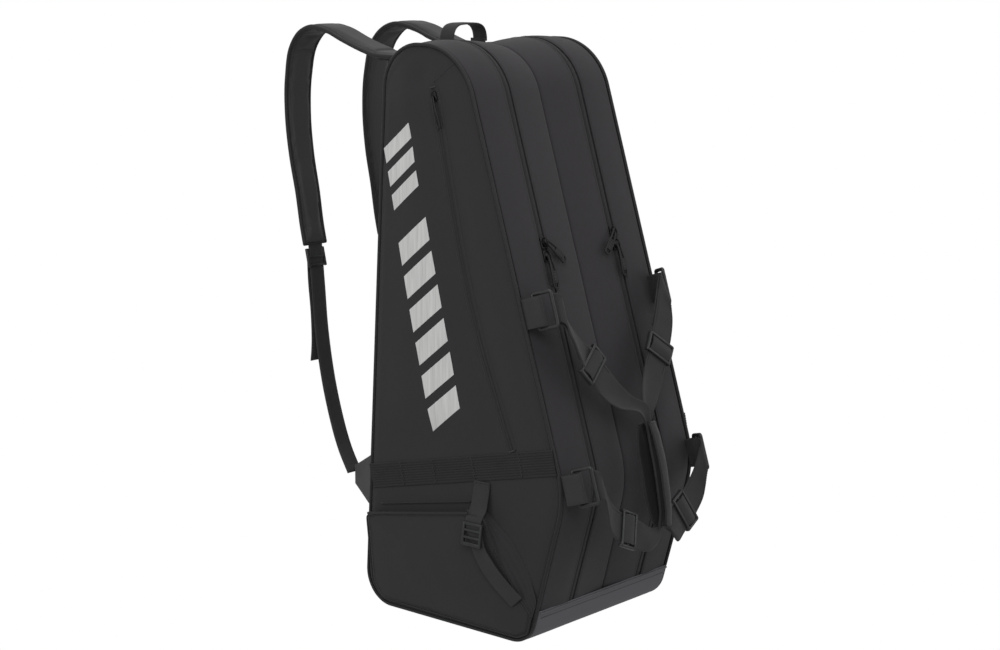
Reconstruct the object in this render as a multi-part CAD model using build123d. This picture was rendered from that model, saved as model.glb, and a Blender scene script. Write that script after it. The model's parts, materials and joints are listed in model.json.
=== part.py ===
"""Racket tournament bag: two racket compartments, duffel handles and shoulder straps.

Frame: origin on the floor under the middle of the base, +X to the bag's right,
+Y to its back (the wearer's side), +Z up. Millimetres.
"""
from build123d import *
from math import copysign, cos, hypot, radians, sin, sqrt
import os

# Overall outline, seen from the side
HEIGHT = 760.0  # floor to crown
HALF_WIDTH = 136.0  # middle of the bag to the piping of either side
BASE_BACK = 146.0  # corners of the outline, as depth behind (+) or before (-) the origin
BASE_FRONT = -149.0
BELLY_FRONT = -206.0
BELLY_HEIGHT = 204.0
CROWN_FRONT = -35.0
CROWN_BACK = 100.0
CORNER_RADII = (45.0, 40.0, 124.0, 88.0, 62.0)  # base back, base front, belly, crown front and back

# Shell
PIPING = 5.0  # bead along both edges of each side
PIPING_DEPTH = 4.0
SKIN_INSET = 1.0  # fabric lies this far under the piping's crown
FABRIC = 3.0  # gusset, with its foam
PANEL = 4.0  # side panel, with its foam
BACK_FOAM = 8.0
DIVIDER = 6.0
BOOT = 2.5
BOOT_TURN_UP = 35.0
BOARD = 4.0
BOARD_MARGIN = 10.0
GAP = 0.4  # between neighbours that move apart
REACH = 400.0  # half size of the blocks that cut the shell, beyond any of its faces
LIFT = 1.5  # the sides hang this far above the floor, so that the boot carries the bag
BACK_SPLIT = 72.0  # the back panel wraps over the crown down to this depth

# Main zips
ZIP_X = 71.0
ZIP_TAPE = 1.8
ZIP_DEPTH = 3.6
SLIDERS_MEET = 502.0  # height where the two sliders of a zip meet
SLIDER_LENGTH = 15.0
SLIDER_WIDTH = 11.0
SLIDER_BASE = 3.4
SLIDER_RISE = 0.6  # clearance over the teeth
SLIDER_CORNER = 3.0
SLIDER_SPACE = 2.0  # between the two sliders of a zip
CHEEK_X = 4.2  # from the slider's middle to each cheek
CHEEK_THICK = 1.6
CHEEK_LENGTH = 3.6
BAR_Y = 2.0  # the pull's bar, above the slider's middle
BAR_HALF = 5.0
PULL_EYE = 2.6
PULL_BAR = 1.1
PULL_PLAY = 0.2
PULL_LIFT = 0.8  # clearance under the eye
EYE_HALF = 2.6
NECK_WIDTH = 4.4
PULL_LENGTH = 44.0
PULL_WIDTH = 11.0
PULL_CORD = 2.8
PULL_NECK = 12.0
PULL_ROOT = 4.5
PULL_SLANT = 47.0  # degrees, of the upper slider's pull

# Side pocket zip, on the side panel
SIDE_ZIP_TOP = (13.0, 705.0)
SIDE_ZIP_BEND = (-62.0, 400.0)
SIDE_ZIP_END = (-120.0, 252.0)
SIDE_ZIP_WIDTH = 7.0
SIDE_ZIP_THICK = 1.5
SIDE_SLIDER_START = 12.0  # from the top of the zip

# Band and bellows pocket on the side panel
BAND_FRONT_Z = 252.0  # height of the band's middle at the front and back edges
BAND_BACK_Z = 174.0
BAND_WIDTH = 33.0
BAND_THICK = 2.0
POCKET_TILT = 5.0  # degrees that the pocket's face leans out
POCKET_FOOT = 8.0
POCKET_CLOTH = 2.4
POCKET_DEPTH = 30.0  # of the folded walls, cut off at the side panel
POCKET_OUTLINE = (  # depth and height of the corners of its face
    (112, 10),
    (128, 30),
    (130, 125),
    (-47, 160),
    (-72, 160),
    (-98, 104),
    (-123, 69),
    (-148, 46),
    (-140, 17),
    (-126, 10),
)
POCKET_MOUTH = (2, 4)  # corners of the face at the ends of its mouth
MOUTH_DEPTH = 14.0
POCKET_STRAP_WIDTH = 28.0
POCKET_STRAP_Y = -61.0
TAIL_OVERLAP = 6.0  # tail behind the buckle's foot
TAIL_LEAN = ((54.0, -66.0), (28.0, -80.0))  # the tail's far corners, from its near ones
STRAP_TAB_LENGTH = 24.0
STRAP_TAB_RISE = 10.0  # middle of the tab over the buckle's top
STRAP_TAB_LIFT = 4.0
BUCKLE_TOP = 156.0
BUCKLE_LENGTH = 40.0
BUCKLE_BODY = 32.0
BUCKLE_WIDTH = 34.0
BUCKLE_THICK = 5.0
BUCKLE_SLOT = 7.0
BUCKLE_SLOTS = (8.0, -5.0)  # middles of its two slots, from its own middle

# Duffel handles
WEB_WIDTH = 38.0
WEB_THICK = 3.2
RING_LENGTH = WEB_WIDTH + 7.0  # between bar centres, along the bag's front
RING_DEPTH = 24.0
RING_BAR = 2.5
RING_LEAN = 60.0  # degrees that the rings stand out from the front
RING_INSET = 8.0  # from the piping to the bar in the anchor
RING_STANDOFF = 13.5
UPPER_RING = 235.0  # along the front, from the belly corner
LOWER_RING = 10.0
ANCHOR_WALL = 2.6
GLIDE_LENGTH = 28.0
GLIDE_RAIL = 5.0
GLIDE_BAR = 2.6
GLIDE_PLAY = 0.5
UPPER_GLIDE = (-70.0, 156.0, 34.0)  # across, along and off the bag's front
UPPER_WAY = (25.0, -33.0, -1.0)  # the webbing's way through it
UPPER_ACROSS = (0.78, 0.62, 0.0)
LOWER_GLIDE = (-58.0, -57.0, 23.0)
LOWER_WAY = (-24.0, 11.0, 0.0)
LOWER_ACROSS = (0.42, 0.91, 0.0)
MIDDLE_TOP = (70.0, 42.0)  # along and off the front, at the top of the handles' grip
MIDDLE_WAIST = (6.0, 40.0)
MIDDLE_FOOT = (-56.0, 31.5)
MIDDLE_END = (-82.0, 26.0)  # lower end of the webbing's middle run
LEFT_MIDDLE = (-7.0, 12.0)  # across, and width of the bunched webbing
RIGHT_MIDDLE = (-13.0, 16.0)  # the same, on the mirrored handle
WRAP_OVERLAP = 2.0  # the wrap ends this far over the grip's top
WRAP_EDGE = 2.0  # its open edge, across
WRAP_WALL = 3.0
WRAP_GAP = 7.0
WRAP_DEPTH = 25.0

# Shoulder straps
STRAP_PIVOT = (-84.0, CROWN_BACK + 30.0, HEIGHT - 24.0)
WING_APEX = (-110.0, 192.0, 163.0)
WING_EDGE = 6.0  # half height of the wing's end
WING_OVERLAP = 4.0  # the wing's root, under the webbing's end and inside the back line
WING_ROOT = (130.0, 205.0)  # heights of the wing's root on the back edge
WING_THICK = 3.0
PAD_WIDTH = 52.0
PAD_END_WIDTH = 42.0
PAD_THICK = 9.0
PAD_ROOT_THICK = 5.0
PAD_ROOT_LENGTH = 20.0
PAD_LINE = (  # the pad's middle from its root to its end: back and up from the pivot
    (33, 4),
    (75, 19),
    (115, 35),
    (140, 38),
    (164, 30),
    (183, 11),
    (196, -31),
    (200, -86),
    (195, -142),
    (185, -193),
    (177, -242),
    (172, -264),
)
PAD_END_X = -74.0
WEB_START = (171.6, -265.5)  # back and up from the pivot to the top of the lower webbing
WEB_BOW = (  # share of the way to the wing, and how far the webbing stands in and back from that line
    (0.398, 13.3, 32.0),
    (0.707, 16.5, 37.9),
    (0.906, 11.6, 23.7),
)
TAB_WIDTH = 40.0
TAB_LENGTH = 60.0
TAB_DROP = 14.0  # its middle, below the pivot
TAB_THICK = 3.0
STRAP_WEB = 25.0
STRAP_WEB_THICK = 1.8
ADJUSTER_LENGTH = 27.0
ADJUSTER_THICK = 4.0
ADJUSTER_RAIL = 4.0
ADJUSTER_BAR = 5.0
ADJUSTER_BAR_THICK = 2.4
ADJUSTER_START = 5.0  # from the end of the pad

# Haul loop
HAUL_Y = 86.0
HAUL_HALF_SPAN = 33.0
HAUL_RISE = 24.0
HAUL_WEB = 25.0
HAUL_THICK = 3.0
HAUL_LIFT = 14.5  # loop's feet above the back panel
HAUL_STEPS = 12
FOOT_OVERLAP = 4.0  # tab beside the foot of the loop
FOOT_CLEARANCE = 1.0
FOOT_WIDTH = 12.0
FOOT_DROP = 40.0


def outline_points():
    """Corners of the side outline as (y, z)."""
    return [
        (BASE_BACK, 0),
        (BASE_FRONT, 0),
        (BELLY_FRONT, BELLY_HEIGHT),
        (CROWN_FRONT, HEIGHT),
        (CROWN_BACK, HEIGHT),
    ]


def outline(inset):
    """Face of the side outline, drawn in by inset."""
    edge = FilletPolyline(*outline_points(), radius=list(CORNER_RADII), close=True)
    face = make_face(edge)
    return offset(face, amount=-inset) if inset else face


def slab(inset, x0, x1):
    """The outline, drawn in by inset, from x0 to x1."""
    return extrude(Plane.YZ.offset(x0) * outline(inset), amount=x1 - x0)


def hoop(outer, inner, x0, x1):
    """Band that runs round the outline between two insets."""
    return slab(outer, x0, x1) - slab(inner, x0, x1)


def block(x0, x1, y0, y1, z0, z1):
    """Box between two corners."""
    return Pos(x0, y0, z0) * Box(x1 - x0, y1 - y0, z1 - z0, align=(Align.MIN,) * 3)


def above(z0, y1=REACH):
    """Everything over z0 and before y1."""
    return block(-REACH, REACH, -REACH, y1, z0, HEIGHT + REACH)


def below_panel():
    """Everything on the bag's side of the left side panel's face."""
    return block(PANEL_FACE, 0, -REACH, REACH, -REACH, REACH)


def mirrored(shape):
    """The same piece on the bag's right."""
    return mirror(shape, about=Plane.YZ)


# The front face: across (x), along (up the slope from the belly corner) and out
FACE_LENGTH = hypot(CROWN_FRONT - BELLY_FRONT, HEIGHT - BELLY_HEIGHT)
FACE_UP = Vector(0, CROWN_FRONT - BELLY_FRONT, HEIGHT - BELLY_HEIGHT) / FACE_LENGTH
FACE_OUT = Vector(0, -FACE_UP.Z, FACE_UP.Y)
FACE = Plane(origin=(0, BELLY_FRONT, BELLY_HEIGHT), x_dir=(1, 0, 0), z_dir=FACE_OUT)


def ribbon(stations, thickness):
    """Webbing lofted through stations of centre, direction of its width, and width."""
    sections = []
    last = len(stations) - 1
    for i, (centre, across, width) in enumerate(stations):
        along = Vector(*stations[min(i + 1, last)][0]) - Vector(*stations[max(i - 1, 0)][0])
        side = Vector(*across).normalized()
        normal = along.normalized().cross(side).normalized()
        half = side * width / 2
        rise = normal * thickness / 2
        centre = Vector(*centre)
        corners = [centre + half + rise, centre - half + rise, centre - half - rise, centre + half - rise]
        sections.append(Wire.make_polygon(corners, close=True))
    return Solid.make_loft(sections, ruled=True)


def rod(start, end, radius):
    """Round bar between two points."""
    start, end = Vector(*start), Vector(*end)
    return Plane(origin=start, z_dir=end - start) * Cylinder(
        radius, (end - start).length, align=(Align.CENTER, Align.CENTER, Align.MIN)
    )


# ---------------------------------------------------------------- centre part


def base_boot():
    """Coated tray that the bag stands on, turned up at front and back."""
    ring = hoop(0, BOOT, -HALF_WIDTH + PIPING / 2 + GAP, HALF_WIDTH - PIPING / 2 - GAP)
    return ring - above(BOOT_TURN_UP)


def base_board():
    """Stiffener that lies in the boot."""
    half = HALF_WIDTH - BOARD_MARGIN
    front = BASE_FRONT + CORNER_RADII[1] + BOARD_MARGIN
    back = BASE_BACK - CORNER_RADII[0] - BOARD_MARGIN
    return block(-half, half, front, back, BOOT, BOOT + BOARD)


def back_panel():
    """Padded back, which wraps over the crown to the end of the zips."""
    half = HALF_WIDTH - PIPING / 2 - GAP
    ring = hoop(SKIN_INSET, SKIN_INSET + BACK_FOAM, -half, half)
    return ring & block(-half, half, BACK_SPLIT, BASE_BACK, BOOT_TURN_UP + LIFT, HEIGHT)


def front_band(outer, inner, x0, x1):
    """Strip of the gusset, from the boot up the front and over the crown."""
    return hoop(outer, inner, x0, x1) & above(BOOT_TURN_UP + LIFT, BACK_SPLIT - GAP) - block(
        x0 - 1, x1 + 1, 0, BASE_BACK, 0, HEIGHT / 2
    )


def inner_gusset():
    """Left half of the fabric between the zips."""
    return front_band(SKIN_INSET, SKIN_INSET + FABRIC, -ZIP_X + GAP / 2 + ZIP_TAPE, -GAP / 2)


def centre_divider():
    """Padded wall between the compartments."""
    return slab(SKIN_INSET + BACK_FOAM + GAP, -DIVIDER / 2, DIVIDER / 2)


def zip_inner():
    """Inner tape and teeth of the left main zip."""
    return front_band(0, ZIP_DEPTH, -ZIP_X + GAP / 2, -ZIP_X + GAP / 2 + ZIP_TAPE)


def back_edge_y(z):
    """Depth of the back line at height z."""
    return BASE_BACK + (CROWN_BACK - BASE_BACK) * z / HEIGHT


def strap_wing():
    """Triangular wing, from the left back edge to the lower strap webbing."""
    x = -HALF_WIDTH + PIPING / 2 + WING_THICK
    low, high = WING_ROOT
    corners = [
        Vector(x, back_edge_y(low) - WING_OVERLAP, low),
        Vector(x, back_edge_y(high) - WING_OVERLAP, high),
        Vector(*WING_APEX) + Vector(0, -WING_OVERLAP, WING_EDGE),
        Vector(*WING_APEX) + Vector(0, -WING_OVERLAP, -WING_EDGE),
    ]
    normal = (corners[1] - corners[0]).cross(corners[2] - corners[0]).normalized()
    plane = Plane(origin=corners[0], z_dir=normal)
    flat = [plane.to_local_coords(corner) for corner in corners]
    face = make_face(Polyline(*[(p.X, p.Y) for p in flat], close=True))
    wing = plane * extrude(face, amount=WING_THICK / 2, both=True)
    return wing - slab(SKIN_INSET, -HALF_WIDTH - PIPING, HALF_WIDTH)


STRAP_AXIS = (Vector(*STRAP_PIVOT) - Vector(*WING_APEX)).normalized()
STRAP_ROOT = Plane(origin=STRAP_PIVOT, x_dir=(1, 0, STRAP_AXIS.X), z_dir=STRAP_AXIS)


def strap_tab():
    """Stitched tab under the top of the left shoulder strap."""
    tab = STRAP_ROOT * Pos(0, -TAB_DROP, -GAP / 2 - TAB_THICK / 2) * Box(TAB_WIDTH, TAB_LENGTH, TAB_THICK)
    return tab - slab(SKIN_INSET, -HALF_WIDTH, HALF_WIDTH)


def crown_z(y):
    """Height of the crown's back corner at depth y."""
    radius = CORNER_RADII[4]
    slant = (BASE_BACK - CROWN_BACK) / HEIGHT
    centre_z = HEIGHT - radius
    centre_y = CROWN_BACK + slant * radius - radius * sqrt(1 + slant * slant)
    return centre_z + sqrt(radius**2 - (y - centre_y) ** 2)


def haul_tab():
    """Stitched foot of the haul loop, on the left."""
    top = crown_z(HAUL_Y) + HAUL_LIFT + FOOT_OVERLAP
    x0 = -HAUL_HALF_SPAN + HAUL_THICK / 2 + FOOT_CLEARANCE
    y0 = HAUL_Y - FOOT_WIDTH / 2
    foot = block(x0, x0 + HAUL_THICK, y0, y0 + FOOT_WIDTH, top - FOOT_DROP, top)
    return foot - slab(SKIN_INSET, -HALF_WIDTH, HALF_WIDTH)


# ---------------------------------------------------------------- left side


def side_panel():
    """Padded side, inside the piping, with its foot clear of the floor."""
    x0 = -HALF_WIDTH - PANEL / 2
    return slab(PIPING_DEPTH + 0.05, x0, x0 + PANEL) & above(LIFT)


def piping():
    """Bead along the edge of the side."""
    x0 = -HALF_WIDTH - PIPING / 2
    return hoop(0, PIPING_DEPTH, x0, x0 + PIPING) & above(LIFT)


def outer_gusset():
    """Fabric from the piping to the zip."""
    return front_band(SKIN_INSET, SKIN_INSET + FABRIC, -HALF_WIDTH + PIPING / 2, -ZIP_X - GAP / 2 - ZIP_TAPE)


def zip_outer():
    """Outer tape and teeth of the left main zip."""
    return front_band(0, ZIP_DEPTH, -ZIP_X - GAP / 2 - ZIP_TAPE, -ZIP_X - GAP / 2)


PANEL_FACE = -HALF_WIDTH - PANEL / 2


def on_side(points, x0, thickness):
    """Plate with the outline given as (y, z), laid on the side from x0 outwards."""
    face = make_face(Polyline(*points, close=True))
    return extrude(Plane.YZ.offset(x0 - thickness) * face, amount=thickness)


def band():
    """Ribbed band across the side, above the pocket."""
    half = BAND_WIDTH / 2
    back, front = BASE_BACK, BELLY_FRONT
    points = [
        (back, BAND_BACK_Z - half),
        (back, BAND_BACK_Z + half),
        (front, BAND_FRONT_Z + half),
        (front, BAND_FRONT_Z - half),
    ]
    plate = on_side(points, PANEL_FACE, BAND_THICK)
    return plate & slab(PIPING_DEPTH + SKIN_INSET, PANEL_FACE - BAND_THICK, PANEL_FACE)


# The pocket's face: forward (-y), up along the face, and out
POCKET = Plane(
    origin=(PANEL_FACE - POCKET_CLOTH / 2, 0, POCKET_FOOT),
    x_dir=(0, -1, 0),
    z_dir=(-cos(radians(POCKET_TILT)), 0, -sin(radians(POCKET_TILT))),
)


def pocket_shape(inset=0.0):
    """Face of the pocket in the POCKET plane."""
    rise = 1 / cos(radians(POCKET_TILT))
    points = [(-y, (z - POCKET_FOOT) * rise) for y, z in POCKET_OUTLINE]
    face = make_face(Polyline(*points, close=True))
    return offset(face, amount=-inset, kind=Kind.INTERSECTION) if inset else face


def pocket_front():
    """Leaning face of the bellows pocket."""
    plate = POCKET * extrude(pocket_shape(), amount=POCKET_CLOTH)
    return plate - below_panel()


def pocket_gusset():
    """Folded walls of the pocket, open along its mouth."""
    wall = pocket_shape() - pocket_shape(POCKET_CLOTH)
    walls = POCKET * extrude(wall, amount=-POCKET_DEPTH)
    (back_y, back_z), (front_y, front_z) = (POCKET_OUTLINE[i] for i in POCKET_MOUTH)
    corners = [
        (-back_y + POCKET_CLOTH + 1, back_z - POCKET_FOOT - MOUTH_DEPTH),
        (-front_y - POCKET_CLOTH - 1, front_z - POCKET_FOOT - MOUTH_DEPTH),
        (-front_y - POCKET_CLOTH - 1, front_z + MOUTH_DEPTH),
        (-back_y + POCKET_CLOTH + 1, front_z + MOUTH_DEPTH),
    ]
    mouth = POCKET * extrude(make_face(Polyline(*corners, close=True)), amount=POCKET_DEPTH, both=True)
    return walls - mouth - below_panel()


def pocket_strap():
    """Compression webbing on the pocket: a tab over the mouth and a tail to the front corner."""
    half = POCKET_STRAP_WIDTH / 2
    x = -POCKET_STRAP_Y
    low = BUCKLE_TOP - POCKET_FOOT - BUCKLE_LENGTH + TAIL_OVERLAP
    far = [(x + half + dx, low + dz) for dx, dz in TAIL_LEAN]
    tail_points = [(x - half, low), (x + half, low), *far]
    tail = extrude(make_face(Polyline(*tail_points, close=True)), amount=STRAP_WEB_THICK)
    tab = Box(POCKET_STRAP_WIDTH, STRAP_TAB_LENGTH, STRAP_WEB_THICK)
    tab = Pos(x, BUCKLE_TOP - POCKET_FOOT + STRAP_TAB_RISE, STRAP_TAB_LIFT) * tab
    return [POCKET * Pos(0, 0, POCKET_CLOTH) * tail, POCKET * Pos(0, 0, POCKET_CLOTH) * tab]


def pocket_buckle():
    """Ladder lock on the pocket's strap."""
    frame = Box(BUCKLE_WIDTH, BUCKLE_BODY, BUCKLE_THICK)
    slot = Box(POCKET_STRAP_WIDTH, BUCKLE_SLOT, 2 * BUCKLE_THICK)
    for y in BUCKLE_SLOTS:
        frame -= Pos(0, y, 0) * slot
    lift = POCKET_CLOTH + STRAP_TAB_LIFT + STRAP_WEB_THICK + BUCKLE_THICK / 2
    place = Pos(-POCKET_STRAP_Y, BUCKLE_TOP - POCKET_FOOT - BUCKLE_LENGTH / 2, lift)
    return POCKET * place * frame


def side_zip():
    """Tape and teeth of the side pocket's zip."""
    half = SIDE_ZIP_WIDTH / 2
    path = [SIDE_ZIP_TOP, SIDE_ZIP_BEND, SIDE_ZIP_END]
    left = [(y + half, z) for y, z in path]
    right = [(y - half, z) for y, z in reversed(path)]
    return on_side(left + right, PANEL_FACE, SIDE_ZIP_THICK)


def far_bar(station):
    """Middle of the ring's bar that holds the handle, in front-face terms."""
    lean = radians(RING_LEAN)
    x = -HALF_WIDTH + RING_INSET + RING_DEPTH * cos(lean)
    return (x, station, RING_STANDOFF + RING_DEPTH * sin(lean))


def handle_anchor(station):
    """Webbing fold that is sewn beside the piping and holds a ring."""
    x = -HALF_WIDTH + RING_INSET
    outer = RING_BAR + GAP + ANCHOR_WALL
    half = WEB_WIDTH / 2
    fold = rod((x, station - half, RING_STANDOFF), (x, station + half, RING_STANDOFF), outer)
    leg = Pos(x - 1, station, RING_STANDOFF / 2 - 6) * Box(2 * ANCHOR_WALL - 1, WEB_WIDTH, RING_STANDOFF + 12)
    hole = rod((x, station - half - 1, RING_STANDOFF), (x, station + half + 1, RING_STANDOFF), RING_BAR + GAP)
    return FACE * (fold + leg - hole) - slab(SKIN_INSET, -HALF_WIDTH - PIPING, HALF_WIDTH)


def ring(station):
    """Round-bar ring that joins an anchor to the handle."""
    half = RING_LENGTH / 2
    x = -HALF_WIDTH + RING_INSET
    far = far_bar(station)
    path = FilletPolyline(
        (x, station - half, RING_STANDOFF),
        (x, station + half, RING_STANDOFF),
        (far[0], station + half, far[2]),
        (far[0], station - half, far[2]),
        radius=RING_BAR,
        close=True,
    )
    start = path @ 0
    section = Plane(origin=start, z_dir=path % 0) * Circle(RING_BAR)
    return FACE * sweep(section, path=path)


# ---------------------------------------------------------------- handles


def shifted(point, way, sign=1):
    """Point moved along way."""
    return tuple(p + sign * w for p, w in zip(point, way))


def handle_web(middle_x, middle_width):
    """Left handle webbing, from the upper ring down the middle and back to the lower ring."""
    up, low = far_bar(UPPER_RING), far_bar(LOWER_RING)
    lift = RING_BAR + GAP / 2 + WEB_THICK / 2
    along = (0, 1, 0)
    nearly_along = (0.1, 1, 0)
    flat = (1, 0, 0)
    s_top, h_top = MIDDLE_TOP
    middle = [(middle_x, s, h) for s, h in (MIDDLE_TOP, MIDDLE_WAIST, MIDDLE_FOOT, MIDDLE_END)]
    upper = [
        ((up[0] - 1, up[1], up[2] + lift), along, WEB_WIDTH),
        ((up[0] + 10, up[1] - 7, up[2] + lift), nearly_along, WEB_WIDTH),
        (shifted(UPPER_GLIDE, UPPER_WAY, -1), UPPER_ACROSS, WEB_WIDTH),
        (UPPER_GLIDE, UPPER_ACROSS, WEB_WIDTH),
        (shifted(UPPER_GLIDE, UPPER_WAY), UPPER_ACROSS, WEB_WIDTH),
        ((-24, s_top + 30, h_top - 2), (0.9, 0.4, 0), WEB_WIDTH - 6),
        ((middle_x - 5, s_top + 16, h_top), (0.97, 0.2, 0), 20),
    ]
    upper += [(point, flat, middle_width) for point in middle]
    corner = shifted(LOWER_GLIDE, LOWER_WAY)
    lower = [
        ((middle_x, MIDDLE_END[0] + 1, MIDDLE_END[1] - 2), (0.2, 0.98, 0), 26),
        (shifted(LOWER_GLIDE, LOWER_WAY, -1), LOWER_ACROSS, WEB_WIDTH),
        (LOWER_GLIDE, LOWER_ACROSS, WEB_WIDTH),
        (corner, LOWER_ACROSS, WEB_WIDTH),
        (shifted(corner, (-12, 15, 8)), (0.3, 0.95, 0), WEB_WIDTH),
        ((low[0] + 12, low[1] - 8, low[2] + lift), nearly_along, WEB_WIDTH),
        ((low[0] - 1, low[1], low[2] + lift), along, WEB_WIDTH),
    ]
    web = ribbon(upper, WEB_THICK) + ribbon(lower, WEB_THICK)
    half = WEB_WIDTH / 2
    for x, s, h in (up, low):
        web += rod((x, s - half, h), (x, s + half, h), lift + WEB_THICK / 2)
    for x, s, h in (up, low):
        web -= rod((x, s - half - 6, h), (x, s + half + 6, h), RING_BAR + GAP / 4)
    return FACE * web


def glide(centre, across, along):
    """Tri-glide: two bars over the webbing and one under it."""
    across, along = Vector(*across).normalized(), Vector(*along).normalized()
    place = Plane(origin=centre, x_dir=across, z_dir=across.cross(along))
    near = WEB_THICK / 2 + GLIDE_PLAY
    reach = near + GLIDE_BAR
    half = WEB_WIDTH / 2 + GLIDE_PLAY
    width = 2 * (half + GLIDE_RAIL)
    body = Box(width, GLIDE_LENGTH, 2 * reach) - Box(2 * half, GLIDE_LENGTH + 2, 2 * reach + 2)
    bar = GLIDE_LENGTH / 5
    for y in (-GLIDE_LENGTH / 2 + bar / 2, GLIDE_LENGTH / 2 - bar / 2):
        body += Pos(0, y, near + GLIDE_BAR / 2) * Box(2 * half, bar, GLIDE_BAR)
    body += Pos(0, 0, -near - GLIDE_BAR / 2) * Box(2 * half, bar, GLIDE_BAR)
    return FACE * (place * body)


def grip_wrap():
    """Folded padded sheet round the right handle, open to the left."""
    x0, x1 = WRAP_EDGE, WRAP_EDGE + WRAP_DEPTH
    xi = x1 - WRAP_WALL
    inner = WRAP_GAP / 2
    outer = inner + WRAP_WALL
    fold = [(x0, outer), (x1, outer), (x1, -outer), (x0, -outer)]
    hollow = [(x0, -inner), (xi, -inner), (xi, inner), (x0, inner)]
    top, foot = MIDDLE_TOP[0] + WRAP_OVERLAP, MIDDLE_FOOT[0] + 1
    stations = [(top, MIDDLE_TOP[1]), MIDDLE_WAIST, (foot, MIDDLE_FOOT[1])]
    sections = []
    for s, h in stations:
        sections.append(Wire.make_polygon([Vector(x, s, h + d) for x, d in fold + hollow], close=True))
    return FACE * Solid.make_loft(sections, ruled=True)


# ---------------------------------------------------------------- zip sliders


BAR_Z = SLIDER_RISE + SLIDER_BASE + PULL_EYE + PULL_LIFT  # height of the pull's bar over the zip


def slider():
    """Zip slider: base, cheeks and the bar that its pull hangs on. Up is +Y, out is +Z."""
    base = Pos(0, 0, SLIDER_RISE + SLIDER_BASE / 2) * Box(SLIDER_WIDTH, SLIDER_LENGTH, SLIDER_BASE)
    base = fillet(base.edges().filter_by(Axis.Z), SLIDER_CORNER)
    for x in (-CHEEK_X, CHEEK_X):
        base += Pos(x, BAR_Y, BAR_Z / 2 + 1) * Box(CHEEK_THICK, CHEEK_LENGTH, BAR_Z)
    return base + rod((-BAR_HALF, BAR_Y, BAR_Z), (BAR_HALF, BAR_Y, BAR_Z), PULL_BAR)


def pull(slant=0.0):
    """Cord pull with an eye round the slider's bar, hanging down, turned aside by slant degrees."""
    eye = rod((-EYE_HALF, 0, 0), (EYE_HALF, 0, 0), PULL_EYE)
    root = Pos(0, -PULL_ROOT / 2, 0) * Box(NECK_WIDTH, PULL_ROOT, PULL_CORD)
    neck = Pos(0, -PULL_NECK / 2, 0) * Box(NECK_WIDTH, PULL_NECK, PULL_CORD)
    loop_length = PULL_LENGTH - PULL_NECK - PULL_ROOT
    loop = SlotOverall(loop_length, PULL_WIDTH, rotation=90)
    loop -= SlotOverall(loop_length - 2 * PULL_CORD, PULL_WIDTH - 2 * PULL_CORD, rotation=90)
    loop = Pos(0, -PULL_NECK - loop_length / 2 + 2, -PULL_CORD / 2) * extrude(loop, amount=PULL_CORD)
    tail = Pos(0, -PULL_ROOT + 1, 0) * Rot(0, 0, slant) * (neck + loop)
    hole = rod((-BAR_HALF, 0, 0), (BAR_HALF, 0, 0), PULL_BAR + PULL_PLAY)
    return Pos(0, BAR_Y, BAR_Z) * (eye + root + tail - hole)


def meet_station():
    """Where the sliders of a main zip meet, along the front."""
    return (SLIDERS_MEET - BELLY_HEIGHT) / FACE_UP.Z


def main_slider_place(upper):
    """Place of a left main slider on the front."""
    shift = (SLIDER_LENGTH + SLIDER_SPACE) / 2
    return FACE * Plane(origin=(-ZIP_X, meet_station() + (shift if upper else -shift), 0))


def side_zip_plane():
    """Plane at the left side slider: forward, up along the zip, and out."""
    (y0, z0), (y1, z1) = SIDE_ZIP_TOP, SIDE_ZIP_BEND
    up = Vector(0, y0 - y1, z0 - z1).normalized()
    at = Vector(PANEL_FACE - SIDE_ZIP_THICK, y0, z0) - up * SIDE_SLIDER_START
    out = Vector(-1, 0, 0)
    return Plane(origin=at, x_dir=up.cross(out), z_dir=out)


# ---------------------------------------------------------------- shoulder straps


def web_line():
    """Middle of the lower webbing, from the pad's end to just above the wing."""
    start = Vector(PAD_END_X, STRAP_PIVOT[1] + WEB_START[0], STRAP_PIVOT[2] + WEB_START[1])
    way = Vector(*WING_APEX) - start
    return [start] + [start + way * share + Vector(inward, back, 0) for share, inward, back in WEB_BOW]


def shoulder_pad():
    """Padded part of the left shoulder strap, with its root over the tab."""
    half = PAD_ROOT_THICK / 2
    root = Cylinder(PAD_WIDTH / 2, PAD_ROOT_THICK, align=(Align.CENTER, Align.CENTER, Align.MIN))
    root += Pos(0, PAD_ROOT_LENGTH / 2, half) * Box(PAD_WIDTH, PAD_ROOT_LENGTH, PAD_ROOT_THICK)
    root = STRAP_ROOT * Pos(0, 0, GAP / 2) * root
    first = STRAP_ROOT.from_local_coords((0, PAD_ROOT_LENGTH, GAP / 2 + half))
    across = (1, 0, 0)
    stations = [(tuple(first), across, PAD_WIDTH - GAP / 2)]
    for i, (back, up) in enumerate(PAD_LINE):
        share = i / (len(PAD_LINE) - 1)
        x = STRAP_PIVOT[0] + (PAD_END_X - STRAP_PIVOT[0]) * min(1, share * 2)
        width = PAD_WIDTH + (PAD_END_WIDTH - PAD_WIDTH) * share
        stations.append(((x, STRAP_PIVOT[1] + back, STRAP_PIVOT[2] + up), across, width))
    thick = ribbon(stations, PAD_THICK)
    behind = Pos(0, 0, -REACH / 2 + GAP / 2) * Box(REACH, 3 * PAD_ROOT_LENGTH, REACH)
    return root + thick - (STRAP_ROOT * behind)


def strap_webbing():
    """Lower webbing of the left shoulder strap, down to the wing."""
    line = web_line()
    stations = [(tuple(point), (1, 0, 0), STRAP_WEB) for point in line]
    apex = Vector(*WING_APEX)
    way = (line[-1] - apex).normalized()
    stations.append((tuple(apex + way * 14), (1, 0.2, 0), STRAP_WEB - 7))
    stations.append((tuple(apex + way * 5), (1, 0.3, 0), 9))
    return ribbon(stations, STRAP_WEB_THICK)


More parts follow.
